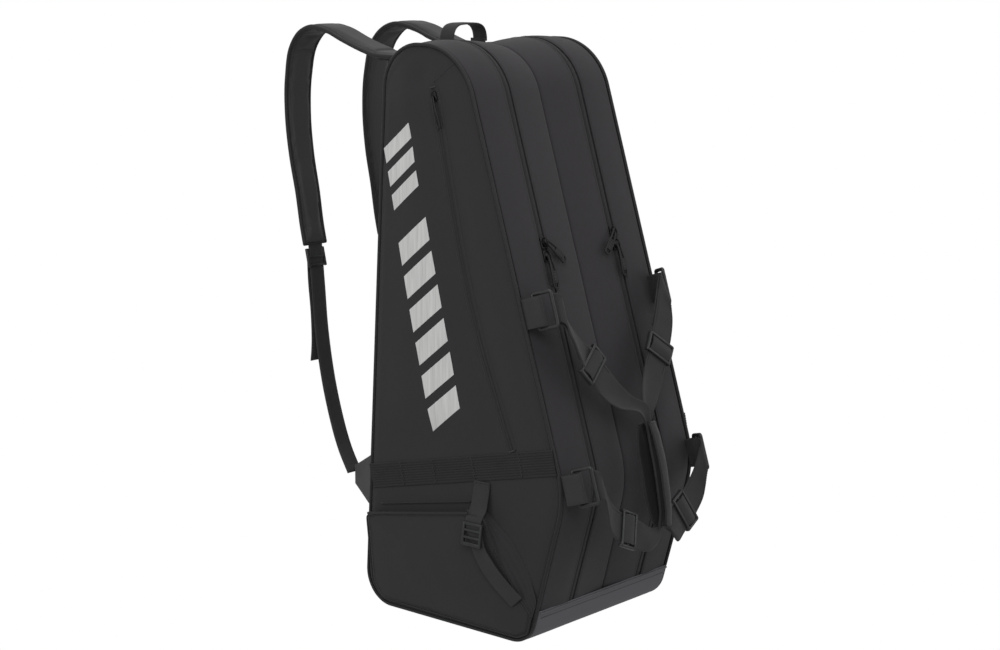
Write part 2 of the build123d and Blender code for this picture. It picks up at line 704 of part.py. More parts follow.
def strap_adjuster():
    """Ladder lock at the end of the left pad."""
    top, second = web_line()[:2]
    way = (second - top).normalized()
    place = Plane(origin=top, x_dir=(1, 0, 0), z_dir=Vector(1, 0, 0).cross(way))
    lift = STRAP_WEB_THICK / 2 + GLIDE_PLAY + ADJUSTER_BAR_THICK / 2
    half = STRAP_WEB / 2 + GLIDE_PLAY
    width = 2 * (half + ADJUSTER_RAIL)
    body = Box(width, ADJUSTER_LENGTH, ADJUSTER_THICK) - Box(2 * half, 2 * ADJUSTER_LENGTH, 2 * ADJUSTER_THICK)
    bar = Box(width, ADJUSTER_BAR, ADJUSTER_BAR_THICK)
    end = (ADJUSTER_LENGTH - ADJUSTER_BAR) / 2
    for y, z in ((-end, lift), (end, lift), (0, -lift)):
        body += Pos(0, y, z) * bar
    return place * Pos(0, ADJUSTER_START + ADJUSTER_LENGTH / 2, 0) * body


def haul_loop():
    """Arched webbing loop on top of the bag."""
    foot = crown_z(HAUL_Y) + HAUL_LIFT
    stations = []
    for i in range(HAUL_STEPS + 1):
        turn = radians(180 * i / HAUL_STEPS)
        x = -HAUL_HALF_SPAN * copysign(sqrt(abs(cos(turn))), cos(turn))
        z = foot + HAUL_RISE * abs(sin(turn)) ** 0.8
        stations.append(((x, HAUL_Y, z), (0, 1, 0), HAUL_WEB))
    return ribbon(stations, HAUL_THICK)


# ---------------------------------------------------------------- assembly


def solids_of(shape):
    """Every solid in a shape or a list of shapes."""
    shapes = shape if isinstance(shape, (list, tuple)) else [shape]
    return [solid for item in shapes for solid in item.solids()]


def write(name, shape):
    """One STEP file for a node."""
    solids = solids_of(shape)
    export_step(solids[0] if len(solids) == 1 else Compound(children=solids), f"parts/{name}.step")


def write_pair(name, shape):
    """The left piece and its mirror image."""
    solids = solids_of(shape)
    write("left_" + name, solids)
    write("right_" + name, [mirrored(solid) for solid in solids])


def both(shape):
    """The left piece and its mirror image in one node."""
    solids = solids_of(shape)
    return solids + [mirrored(solid) for solid in solids]


def main():
    os.makedirs("parts", exist_ok=True)
    write("base_boot", base_boot())
    write("base_board", base_board())
    write("back_panel", back_panel())
    write("centre_divider", centre_divider())
    write_pair("inner_gusset", inner_gusset())
    write("main_zips_inner", both(zip_inner()))
    write("strap_wings", both(strap_wing()))
    write("strap_tabs", both(strap_tab()))
    write("haul_tabs", both(haul_tab()))
    write("haul_loop", haul_loop())

    write_pair("side_panel", side_panel())
    write_pair("piping", piping())
    write_pair("outer_gusset", outer_gusset())
    write_pair("zip_outer", zip_outer())
    write_pair("band", band())
    write_pair("pocket_front", pocket_front())
    write_pair("pocket_gusset", pocket_gusset())
    write_pair("pocket_strap", pocket_strap())
    write_pair("pocket_buckle", pocket_buckle())
    write_pair("side_zip", side_zip())
    write_pair("handle_anchors", [handle_anchor(UPPER_RING), handle_anchor(LOWER_RING)])
    write_pair("handle_rings", [ring(UPPER_RING), ring(LOWER_RING)])

    write("left_handle_webbing", handle_web(*LEFT_MIDDLE))
    write("right_handle_webbing", mirrored(handle_web(*RIGHT_MIDDLE)))
    write("grip_wrap", grip_wrap())
    write_pair("upper_glide", glide(UPPER_GLIDE, UPPER_ACROSS, UPPER_WAY))
    write_pair("lower_glide", glide(LOWER_GLIDE, LOWER_ACROSS, LOWER_WAY))

    for label, upper in (("upper", True), ("lower", False)):
        place = main_slider_place(upper)
        write_pair(f"{label}_slider", place * slider())
        write_pair(f"{label}_pull", place * pull(PULL_SLANT if upper else 0))
    write_pair("side_slider", side_zip_plane() * slider())
    write_pair("side_pull", side_zip_plane() * pull())

    write_pair("shoulder_pad", shoulder_pad())
    write_pair("strap_webbing", strap_webbing())
    write_pair("strap_adjuster", strap_adjuster())


main()
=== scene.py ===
"""Looks of the racket tournament bag: fabric, webbing, zips and hardware round the packed frame."""

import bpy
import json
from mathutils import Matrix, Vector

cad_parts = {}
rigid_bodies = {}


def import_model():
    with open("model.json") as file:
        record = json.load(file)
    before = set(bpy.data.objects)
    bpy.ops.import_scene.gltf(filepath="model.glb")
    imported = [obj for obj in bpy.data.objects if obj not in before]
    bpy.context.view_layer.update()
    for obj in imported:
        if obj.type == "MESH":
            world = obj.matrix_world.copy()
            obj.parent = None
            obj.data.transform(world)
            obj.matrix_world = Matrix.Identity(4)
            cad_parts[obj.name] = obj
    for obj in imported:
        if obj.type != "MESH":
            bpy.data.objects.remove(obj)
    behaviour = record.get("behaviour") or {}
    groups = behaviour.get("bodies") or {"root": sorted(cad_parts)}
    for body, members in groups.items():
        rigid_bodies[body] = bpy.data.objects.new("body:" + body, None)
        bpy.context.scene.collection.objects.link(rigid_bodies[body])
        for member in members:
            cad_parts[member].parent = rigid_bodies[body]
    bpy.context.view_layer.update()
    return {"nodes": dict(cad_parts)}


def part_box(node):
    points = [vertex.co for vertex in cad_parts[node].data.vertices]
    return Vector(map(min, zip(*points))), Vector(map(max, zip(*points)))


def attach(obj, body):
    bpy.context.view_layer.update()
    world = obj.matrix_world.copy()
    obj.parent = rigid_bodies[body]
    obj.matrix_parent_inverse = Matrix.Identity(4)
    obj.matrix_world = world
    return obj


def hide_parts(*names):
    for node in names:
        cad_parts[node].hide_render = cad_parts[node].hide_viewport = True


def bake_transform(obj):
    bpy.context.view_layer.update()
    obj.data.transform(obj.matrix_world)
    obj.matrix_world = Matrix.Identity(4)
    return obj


bl_info = {
    "name": "Racket Bag Looks",
    "version": (1, 0, 0),
    "blender": (4, 5, 0),
    "location": "View3D > Sidebar > Bag",
    "description": "Builds the soft goods, hardware and studio of a racket tournament bag round its frame",
    "category": "Object",
}

import json
from math import acos, cos, exp, pi, radians, sin, sqrt, tan

import bmesh
import bpy
import numpy as np
from bpy.props import FloatProperty, FloatVectorProperty, PointerProperty
from mathutils import Matrix, Vector, noise

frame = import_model()
MM = 0.001
X_AXIS, Y_AXIS, Z_AXIS = Vector((1, 0, 0)), Vector((0, 1, 0)), Vector((0, 0, 1))
SIDES = (("left", -1), ("right", 1))

# -------------------------------------------------- the bag's outline and faces

PIPING_LOW, PIPING_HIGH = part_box("left_piping")
HALF_WIDTH = -(PIPING_LOW.x + PIPING_HIGH.x) / 2
HEIGHT = PIPING_HIGH.z
CORNERS = [Vector((0.146, 0)), Vector((-0.149, 0)), Vector((-0.206, 0.204)), Vector((-0.035, HEIGHT)),
    Vector((0.100, HEIGHT))]
CORNER_RADII = (0.045, 0.040, 0.124, 0.088, 0.062)
PANEL_X = -HALF_WIDTH - 2 * MM  # the left side panel's face
BOOT_TOP = 0.045
BACK_SPLIT = 0.072  # depth where the back panel takes over from the gussets, on the crown
ZIP_X = 0.071
ZIP_OPENING = 5.8 * MM  # from a zip's middle to the folded edge of the fabric
BAG_MIDDLE = Vector((0, -0.02, 0.36))


def rim_runs():
    """Straights and arcs of the outline from the back end of the flat base, forward and round."""
    turns = []
    for i, (corner, radius) in enumerate(zip(CORNERS, CORNER_RADII)):
        before = (corner - CORNERS[i - 1]).normalized()
        after = (CORNERS[(i + 1) % len(CORNERS)] - corner).normalized()
        turns.append((before, after, acos(before.dot(after)), radius))
    runs = []
    for i, (before, after, turn, radius) in enumerate(turns):
        j = (i + 1) % len(CORNERS)
        begin = CORNERS[i] + after * radius * tan(turn / 2)
        way, _, next_turn, next_radius = turns[j]
        end = CORNERS[j] - way * next_radius * tan(next_turn / 2)
        runs.append(((end - begin).length, begin, way, 0))
        runs.append((next_turn * next_radius, end, way, next_radius))
    return runs


RIM_RUNS = rim_runs()
RIM_LENGTH = sum(run[0] for run in RIM_RUNS)


def rim(s):
    """Point and outward normal, both (y, z), at a distance along the outline."""
    s %= RIM_LENGTH
    for length, begin, way, radius in RIM_RUNS:
        if s <= length:
            break
        s -= length
    out = Vector((-way.y, way.x))
    if not radius:
        return begin + way * s, out
    turn = s / radius
    turned = Vector((out.x * cos(turn) + out.y * sin(turn), out.y * cos(turn) - out.x * sin(turn)))
    return begin - out * radius + turned * radius, turned


def rim_where(low, high, reached):
    """Distance along the outline at which reached(point) turns true."""
    for _ in range(40):
        middle = (low + high) / 2
        if reached(rim(middle)[0]):
            high = middle
        else:
            low = middle
    return high


FRONT_START = sum(run[0] for run in RIM_RUNS[:2]) - 0.02
BACK_START = sum(run[0] for run in RIM_RUNS[:7])
S_BOOT = rim_where(FRONT_START, FRONT_START + 0.15, lambda p: p.y > BOOT_TOP)
S_SPLIT = rim_where(0.7, BACK_START + 0.05, lambda p: p.x > BACK_SPLIT)
S_BOOT_BACK = rim_where(BACK_START + 0.1, RIM_LENGTH, lambda p: p.y < BOOT_TOP)

FACE_ORIGIN = Vector((0, CORNERS[2].x, CORNERS[2].y))
FACE_UP = Vector((0, CORNERS[3].x - CORNERS[2].x, CORNERS[3].y - CORNERS[2].y)).normalized()
FACE_OUT = Vector((0, -FACE_UP.z, FACE_UP.y))


def face(x, s, h):
    """Point on the front: across, along the slope from the belly corner, and out. Metres."""
    return FACE_ORIGIN + X_AXIS * x + FACE_UP * s + FACE_OUT * h


def face_way(x, s, h):
    """Direction in the front face's terms."""
    return X_AXIS * x + FACE_UP * s + FACE_OUT * h


def smooth(t):
    """0 to 1 with soft ends."""
    t = min(max(t, 0), 1)
    return t * t * (3 - 2 * t)


def ripple(a, b, c, size):
    """Soft unevenness of cloth, the same in each run."""
    return noise.noise(Vector((a / size, b / size, c)))


def lobe_height(x, s, looks):
    """How far the gusset stands over the outline: a crest at each zip and a valley on the centre seam."""
    x = abs(x)
    z = rim(s)[0].y
    full = 0.45 + 0.55 * smooth((z - BOOT_TOP) / 0.16)
    full *= 1 - 0.75 * smooth((s - S_SPLIT + 0.01) / 0.14)
    if x < ZIP_X:
        t = sin(pi / 2 * x / ZIP_X) ** 0.85
        return looks.crest_height * full - looks.valley_depth * full * (1 - t)
    t = (x - ZIP_X) / (HALF_WIDTH - 4 * MM - ZIP_X)
    edge = -1.6 * MM
    return edge + (looks.crest_height * full - edge + 1.6 * MM * sin(pi * min(t, 1))) * cos(pi / 2 * min(t,
        1)) ** 0.7


def wrap(x, s, h):
    """Point over the outline: across, round it, and out."""
    p, n = rim(s)
    return Vector((x, p.x + n.x * h, p.y + n.y * h))


def wrap_normal(s):
    n = rim(s)[1]
    return Vector((0, n.x, n.y))


SIDE_ZIP = [Vector((13, 705)) * MM, Vector((-62, 400)) * MM, Vector((-120, 252)) * MM]
DENTS = (  # soft dents near the top of the side zip: depth, height, size, how deep
    (0.036, 0.716, 0.020, -3.4 * MM),
    (0.062, 0.690, 0.022, 2.6 * MM),
    (0.050, 0.640, 0.030, -2.0 * MM),
    (-0.010, 0.722, 0.016, -1.6 * MM),
)


def edge_distance(y, z):
    """Distance in from the nearest edge of the side's outline."""
    p = Vector((y, z))
    gaps = []
    for i, corner in enumerate(CORNERS):
        way = (CORNERS[(i + 1) % len(CORNERS)] - corner).normalized()
        gaps.append((p - corner).dot(Vector((way.y, -way.x))))
    return min(gaps)


def side_zip_distance(y, z):
    """Distance from the side zip's line."""
    p = Vector((y, z))
    best = 1.0
    for a, b in zip(SIDE_ZIP, SIDE_ZIP[1:]):
        way = b - a
        t = min(max((p - a).dot(way) / way.length_squared, 0), 1)
        best = min(best, (p - a - way * t).length)
    return best


def side_height(y, z, looks):
    """How far the left side panel stands over its flat face."""
    full = smooth(edge_distance(y, z) / 0.075)
    calm = smooth((side_zip_distance(y, z) - 0.008) / 0.045)
    low = smooth((z - 0.235) / 0.06)
    h = looks.side_bulge * full * calm * low
    for dy, dz, size, deep in DENTS:
        h += deep * exp(-((y - dy) ** 2 + (z - dz) ** 2) / size ** 2) * smooth((side_zip_distance(y, z)
            - 0.004) / 0.02)
    return h + 0.6 * MM * ripple(y, z, 3.1, 0.06) * full * calm * low


def on_side(y, z, lift, looks):
    """Point on the left side panel."""
    return Vector((PANEL_X - side_height(y, z, looks) - lift, y, z))


# -------------------------------------------------- mesh helpers


def mapped_grid(columns, rows, place, flat=None, outward=None):
    """Grid bent to place(u, v), with its own map in metres from flat(u, v)."""
    bm = bmesh.new()
    bmesh.ops.create_grid(bm, x_segments=columns, y_segments=rows, size=1)
    layer = bm.loops.layers.uv.new("cloth")
    spots = {v: ((v.co.x + 1) / 2, (v.co.y + 1) / 2) for v in bm.verts}
    for f in bm.faces:
        for loop in f.loops:
            u, v = spots[loop.vert]
            loop[layer].uv = flat(u, v) if flat else (u, v)
    for v in bm.verts:
        v.co = place(*spots[v])
    if outward is not None:
        face_outwards(bm, outward)
    return bm


def face_outwards(bm, middle):
    """Turns an open surface so that it faces away from a point."""
    bm.normal_update()
    total = sum((f.calc_center_median() - middle).dot(f.normal) * f.calc_area() for f in bm.faces)
    if total < 0:
        bmesh.ops.reverse_faces(bm, faces=bm.faces[:])
    return bm


def closed(bm, gap=0.02 * MM):
    """Welds the seams of a closed shape and turns it outwards."""
    bmesh.ops.remove_doubles(bm, verts=bm.verts[:], dist=gap)
    bmesh.ops.recalc_face_normals(bm, faces=bm.faces[:])
    return bm


def mirror_all(*meshes):
    """Mirrors each mesh to the other side."""
    for bm in meshes:
        mirrored(bm)


def mirrored(bm):
    """The same mesh on the bag's right."""
    for v in bm.verts:
        v.co.x = -v.co.x
    bmesh.ops.reverse_faces(bm, faces=bm.faces[:])
    return bm


def joined(*meshes):
    """Several bmeshes as one."""
    whole = meshes[0]
    for other in meshes[1:]:
        mesh = bpy.data.meshes.new("part")
        other.to_mesh(mesh)
        other.free()
        whole.from_mesh(mesh)
        bpy.data.meshes.remove(mesh)
    return whole


def block(bm, matrix, size, bevel=0.0, segments=2):
    """Rounded block of a size, at a place."""
    made = bmesh.ops.create_cube(bm, size=1, matrix=matrix @ Matrix.Diagonal((*size, 1)))
    if bevel:
        edges = list({e for v in made["verts"] for e in v.link_edges})
        bmesh.ops.bevel(
            bm, geom=edges, offset=bevel, segments=segments, profile=0.5, affect="EDGES", material=-1,
            clamp_overlap=True
        )


def basis(origin, across, along):
    """Matrix whose X is across, whose Y is near along and whose Z stands off both."""
    x = Vector(across).normalized()
    z = x.cross(Vector(along)).normalized()
    y = z.cross(x)
    m = Matrix((x, y, z)).transposed().to_4x4()
    m.translation = Vector(origin)
    return m


def frames_along(points, up):
    """Points of a path with its direction and a side that turns as little as it can."""
    frames = []
    side = None
    for i, p in enumerate(points):
        way = (points[min(i + 1, len(points) - 1)] - points[max(i - 1, 0)]).normalized()
        side = way.cross(up).normalized() if side is None else (side - way * side.dot(way)).normalized()
        frames.append((p, way, side))
    return frames


def tube(points, radius, sides=8, up=Z_AXIS, loop=False):
    """Round cord along points, with closed ends or joined into a loop."""
    frames = frames_along(points, up)
    if loop:
        frames = frames[:-1] + [(points[0], frames[0][1], frames[0][2])]
    last = len(frames) - 1

    def place(u, v):
        p, way, side = frames[round(v * last)]
        turn = 2 * pi * u
        return p + side * cos(turn) * radius + way.cross(side) * sin(turn) * radius

    lengths = [0.0]
    for a, b in zip(points, points[1:]):
        lengths.append(lengths[-1] + (b - a).length)
    bm = mapped_grid(sides, last, place, lambda u, v: (u * 2 * pi * radius, lengths[round(v * last)]))
    bmesh.ops.remove_doubles(bm, verts=bm.verts[:], dist=radius * 0.02)
    bmesh.ops.holes_fill(bm, edges=[e for e in bm.edges if e.is_boundary], sides=sides)
    bmesh.ops.recalc_face_normals(bm, faces=bm.faces[:])
    return bm


def smooth_at(points, share):
    """Row of numbers at a share of the way along a smooth line through rows of numbers."""
    spans = len(points) - 1
    at = min(max(share, 0), 1) * spans
    i = min(int(at), spans - 1)
    t = at - i
    rows = [points[max(min(i + k, spans), 0)] for k in (-1, 0, 1, 2)]
    gaps = [max(float(np.linalg.norm(b[:3] - a[:3])), 1e-6) for a, b in zip(rows, rows[1:])]
    slopes = []
    for k in (1, 2):
        before, after = (rows[k] - rows[k - 1]) / gaps[k - 1], (rows[k + 1] - rows[k]) / gaps[k]
        if (k == 1 and i == 0) or (k == 2 and i == spans - 1):
            slopes.append((rows[2] - rows[1]) / gaps[1])
        else:
            slopes.append((before * gaps[k] + after * gaps[k - 1]) / (gaps[k] + gaps[k - 1]))
    t2, t3 = t * t, t * t * t
    start, end = rows[1], rows[2]
    bend = (t3 - 2 * t2 + t) * gaps[1] * slopes[0] + (t3 - t2) * gaps[1] * slopes[1]
    return (2 * t3 - 3 * t2 + 1) * start + bend + (3 * t2 - 2 * t3) * end


def stations_of(rows, steps):
    """Smooth rows of centre, direction of the width, width and normal along a strip."""
    numbers = [np.array([*centre, *Vector(across).normalized(), width], float) for centre, across,
        width in rows]
    made = []
    for i in range(steps + 1):
        row = smooth_at(numbers, i / steps)
        made.append([Vector(row[:3]), Vector(row[3:6]).normalized(), float(row[6])])
    for i, station in enumerate(made):
        way = (made[min(i + 1, steps)][0] - made[max(i - 1, 0)][0]).normalized()
        station.append(way.cross(station[1]).normalized())
    return made


def strip(rows, steps, columns=6, cloth_width=None):
    """Flat webbing through rows of centre, direction of its width, and width. Bunched webbing bends
    into a gutter.
    """
    made = stations_of(rows, steps)
    lengths = [0.0]
    for a, b in zip(made, made[1:]):
        lengths.append(lengths[-1] + (b[0] - a[0]).length)

    def place(u, v):
        centre, across, width, normal = made[round(v * steps)]
        side = 2 * u - 1
        full = cloth_width or width
        sag = 0.28 * sqrt(max(full * full - width * width, 0))
        return centre + across * width / 2 * side - normal * min(sag, 4.5 * MM) * (1 - side * side)

    def flat(u, v):
        return u * (cloth_width or made[0][2]), lengths[round(v * steps)]

    return mapped_grid(columns, steps, place, flat)


def disc(ring, middle, rings, place):
    """Sheet inside a closed outline, drawn towards its middle in rings. ring(t) and middle are 2-D,
    place makes 3-D.
    """
    count, turns = rings
    middle = Vector(middle)

    def spot(u, v):
        return middle + (ring(u) - middle) * v

    bm = mapped_grid(turns, count, lambda u, v: place(spot(u, v), v), lambda u, v: tuple(spot(u, v)))
    bmesh.ops.remove_doubles(bm, verts=bm.verts[:], dist=0.02 * MM)
    return bm


def cubes(bm, matrices):
    """Many small blocks, made in batches."""
    for start in range(0, len(matrices), 40):
        batch = bmesh.new()
        for matrix in matrices[start : start + 40]:
            bmesh.ops.create_cube(batch, size=1, matrix=matrix)
        mesh = bpy.data.meshes.new("batch")
        batch.to_mesh(mesh)
        batch.free()
        bm.from_mesh(mesh)
        bpy.data.meshes.remove(mesh)


def stitch_line(bm, points, normals, looks, gap=None):
    """Thread stitches along a dense line of points."""
    pitch = gap or looks.stitch_pitch
    thread = looks.thread_thickness
    travelled, next_at = 0.0, 0.0
    made = []
    for a, n, b in zip(points, normals, points[1:]):
        step = (b - a).length
        while next_at < travelled + step and step > 0:
            way = (b - a).normalized()
            middle = a.lerp(b, (next_at - travelled) / step)
            place = basis(middle, way, n.cross(way) * -1)
            made.append(place @ Matrix.Diagonal((pitch * 0.66, thread, thread * 0.8, 1)))
            next_at += pitch
        travelled += step
    cubes(bm, made)


def finished(name, bm, materials, modifiers=()):
    """Object of a bmesh, with its materials and modifiers."""
    name = name.replace(" ", "_") + "_look"
    mesh = bpy.data.meshes.new(name)
    bm.to_mesh(mesh)
    bm.free()
    for material in materials if isinstance(materials, (list, tuple)) else [materials]:
        mesh.materials.append(MATERIALS[material])
    for polygon in mesh.polygons:
        polygon.use_smooth = True
    obj = bpy.data.objects.new(name, mesh)
    bpy.context.scene.collection.objects.link(obj)
    for kind, values in modifiers:
        modifier = obj.modifiers.new(kind.title(), kind)
        for key, value in values.items():
            setattr(modifier, key, value)
    return obj


def thick(depth, lining=False, offset=-1.0):
    """Gives a sheet its thickness."""
    values = {"thickness": depth, "offset": offset, "use_even_offset": False}
    if lining:
        values["material_offset"] = 1
    return "SOLIDIFY", values


def rounded(levels=1):
    return "SUBSURF", {"levels": levels, "render_levels": levels}


def softened(width, segments=2, angle=40):
    return "BEVEL", {"width": width, "segments": segments, "limit_method": "ANGLE",
        "angle_limit": radians(angle)}


def put(obj, body, slot, *nodes):
    """Rides a piece on its body and lets it stand for its nodes."""
    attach(obj, body)
    if nodes:
        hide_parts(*nodes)
    return obj


def bend(obj, side, sign, slot, *nodes):
    """Lets a fabric piece of a side bend at the back seam as the side opens."""
    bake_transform(obj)
    if nodes:
        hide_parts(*nodes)
    return obj


def inflated(obj, pressure, cap, voxel, frames=20):
    """Swells a closed soft shape with cloth, held within cap of where it was, and applies it."""
    remesh = obj.modifiers.new("Remesh", "REMESH")
    remesh.mode = "VOXEL"
    remesh.voxel_size = voxel
    apply_modifiers(obj)
    before = np.array([v.co for v in obj.data.vertices], float)
    cloth = obj.modifiers.new("Cloth", "CLOTH")
    cloth.settings.quality = 4
    cloth.settings.mass = 0.3
    cloth.settings.use_pressure = True
    cloth.settings.uniform_pressure_force = pressure
    cloth.settings.tension_stiffness = 12
    cloth.settings.compression_stiffness = 12
    cloth.settings.effector_weights.gravity = 0
    cloth.point_cache.frame_start = 1
    cloth.point_cache.frame_end = frames
    for number in range(1, frames + 1):
        bpy.context.scene.frame_set(number)
    shape = obj.evaluated_get(bpy.context.evaluated_depsgraph_get())
    after = np.array([v.co for v in shape.data.vertices], float)
    obj.modifiers.remove(cloth)
    bpy.context.scene.frame_set(1)
    moved = after - before
    lengths = np.linalg.norm(moved, axis=1, keepdims=True)
    moved *= np.minimum(1, cap / np.maximum(lengths, 1e-9))
    obj.data.vertices.foreach_set("co", (before + moved).astype(np.float32).ravel())
    obj.data.update()
    for polygon in obj.data.polygons:
        polygon.use_smooth = True
    return obj


def apply_modifiers(obj):
    """Replaces a piece's mesh with what its modifiers make of it."""
    shape = obj.evaluated_get(bpy.context.evaluated_depsgraph_get())
    mesh = bpy.data.meshes.new_from_object(shape)
    obj.modifiers.clear()
    obj.data = mesh


# -------------------------------------------------- materials

MATERIALS = {}


def shader(name, base, roughness, metallic=0.0, sheen=0.0, coat=0.0):
    """New material with its Principled shader and a small kit to add nodes."""
    material = bpy.data.materials.new(name)
    material.use_nodes = True
    tree = material.node_tree
    main = tree.nodes["Principled BSDF"]
    main.inputs["Base Color"].default_value = (*base, 1)
    main.inputs["Roughness"].default_value = roughness
    main.inputs["Metallic"].default_value = metallic
    main.inputs["Sheen Weight"].default_value = sheen
    main.inputs["Sheen Roughness"].default_value = 0.5
    main.inputs["Coat Weight"].default_value = coat
    main.inputs["Coat Roughness"].default_value = 0.25
    MATERIALS[name] = material
    return tree, main


def coordinates(tree, kind="Object", scale=(1, 1, 1), turn=0.0):
    """Object or cloth-map coordinates, scaled and turned."""
    source = tree.nodes.new("ShaderNodeTexCoord")
    mapping = tree.nodes.new("ShaderNodeMapping")
    mapping.inputs["Scale"].default_value = scale
    mapping.inputs["Rotation"].default_value = (0, 0, turn)
    tree.links.new(source.outputs[kind], mapping.inputs["Vector"])
    return mapping.outputs["Vector"]


def speckle(tree, vector, scale, detail=2.0, roughness=0.5):
    made = tree.nodes.new("ShaderNodeTexNoise")
    made.inputs["Scale"].default_value = scale
    made.inputs["Detail"].default_value = detail
    made.inputs["Roughness"].default_value = roughness
    tree.links.new(vector, made.inputs["Vector"])
    return made.outputs["Fac"]


def ribs(tree, vector, pitch, direction="X", bend_by=0.0):
    """Even ribs a pitch apart along X or Y of the vector."""
    made = tree.nodes.new("ShaderNodeTexWave")
    made.bands_direction = direction
    made.wave_profile = "SIN"
    made.inputs["Scale"].default_value = pi / (10 * pitch)
    made.inputs["Distortion"].default_value = bend_by
    made.inputs["Detail"].default_value = 1.0
    tree.links.new(vector, made.inputs["Vector"])
    return made.outputs["Fac"]


def maths(tree, operation, a, b=None):
    made = tree.nodes.new("ShaderNodeMath")
    made.operation = operation
    for socket, value in zip(made.inputs, (a, b)):
        if value is None:
            continue
        if isinstance(value, (int, float)):
            socket.default_value = value
        else:
            tree.links.new(value, socket)
    return made.outputs[0]


def spread(tree, value, low, high):
    """Stretches 0 to 1 to a range."""
    made = tree.nodes.new("ShaderNodeMapRange")
    made.inputs["To Min"].default_value = low
    made.inputs["To Max"].default_value = high
    tree.links.new(value, made.inputs["Value"])
    return made.outputs["Result"]


def tinted(tree, main, value, dark, light):
    """Base colour between two shades."""
    made = tree.nodes.new("ShaderNodeMix")
    made.data_type = "RGBA"
    made.inputs["A"].default_value = (*dark, 1)
    made.inputs["B"].default_value = (*light, 1)
    tree.links.new(value, made.inputs["Factor"])
    tree.links.new(made.outputs["Result"], main.inputs["Base Color"])


def bumped(tree, main, value, depth, strength=1.0):
    made = tree.nodes.new("ShaderNodeBump")
    made.inputs["Distance"].default_value = depth
    made.inputs["Strength"].default_value = strength
    tree.links.new(value, made.inputs["Height"])
    tree.links.new(made.outputs["Normal"], main.inputs["Normal"])


def shades(colour, amount):
    """A darker and a lighter shade of a colour."""
    return tuple(c * (1 - amount) for c in colour), tuple(c * (1 + amount) for c in colour)


def woven(name, colour, pitch, roughness=0.82, sheen=0.12, depth=0.12 * MM, twill=False):
    """Plain or twill weave on the cloth map, with slubs and slight mottling."""
    tree, main = shader(name, colour, roughness, sheen=sheen)
    cloth = coordinates(tree, "UV", turn=radians(45) if twill else 0.0)
    warp, weft = ribs(tree, cloth, pitch, "X", 0.4), ribs(tree, cloth, pitch, "Y", 0.4)
    weave = warp if twill else maths(tree, "MAXIMUM", warp, maths(tree, "MULTIPLY", weft, 0.85))
    place = coordinates(tree, "Object")
    mottle = speckle(tree, place, 22, 3.0)
    slub = speckle(tree, coordinates(tree, "UV", (600, 90, 1)), 1.0, 1.0)
    value = maths(tree, "ADD", maths(tree, "MULTIPLY", mottle, 0.5), maths(tree, "MULTIPLY", slub, 0.5))
    value = maths(tree, "MULTIPLY", value, maths(tree, "ADD", maths(tree, "MULTIPLY", weave, 0.35), 0.75))
    tinted(tree, main, value, *shades(colour, 0.28))
    tree.links.new(spread(tree, mottle, roughness - 0.08, roughness + 0.06), main.inputs["Roughness"])
    height = maths(tree, "ADD", weave, maths(tree, "MULTIPLY", slub, 0.4))
    bumped(tree, main, height, depth, 0.6)


def webbed(name, colour, rib, roughness=0.7, depth=0.25 * MM):
    """Ribbed webbing: cross ribs with finer yarns along it."""
    tree, main = shader(name, colour, roughness, sheen=0.1)
    cloth = coordinates(tree, "UV")
    cross, yarn = ribs(tree, cloth, rib, "Y", 0.3), ribs(tree, cloth, rib * 0.8, "X", 0.3)
    weave = maths(tree, "MULTIPLY", cross, maths(tree, "ADD", maths(tree, "MULTIPLY", yarn, 0.5), 0.5))
    mottle = speckle(tree, coordinates(tree, "Object"), 40, 2.0)
    value = maths(tree, "MULTIPLY", maths(tree, "ADD", maths(tree, "MULTIPLY", weave, 0.7), 0.35), mottle)
    tinted(tree, main, value, *shades(colour, 0.35))
    tree.links.new(spread(tree, weave, roughness + 0.08, roughness - 0.06), main.inputs["Roughness"])
    bumped(tree, main, weave, depth, 0.8)


def moulded(name, colour, roughness, metallic=0.0, grain=900.0, depth=0.03 * MM, coat=0.0):
    """Moulded plastic or enamelled metal with a fine grain and worn, brighter patches."""
    tree, main = shader(name, colour, roughness, metallic, coat=coat)
    place = coordinates(tree, "Object")
    wear = speckle(tree, place, 90, 4.0, 0.6)
    fine = speckle(tree, place, grain, 1.0)
    tinted(tree, main, wear, *shades(colour, 0.25))
    tree.links.new(spread(tree, wear, roughness - 0.07, roughness + 0.1), main.inputs["Roughness"])
    bumped(tree, main, fine, depth, 0.5)


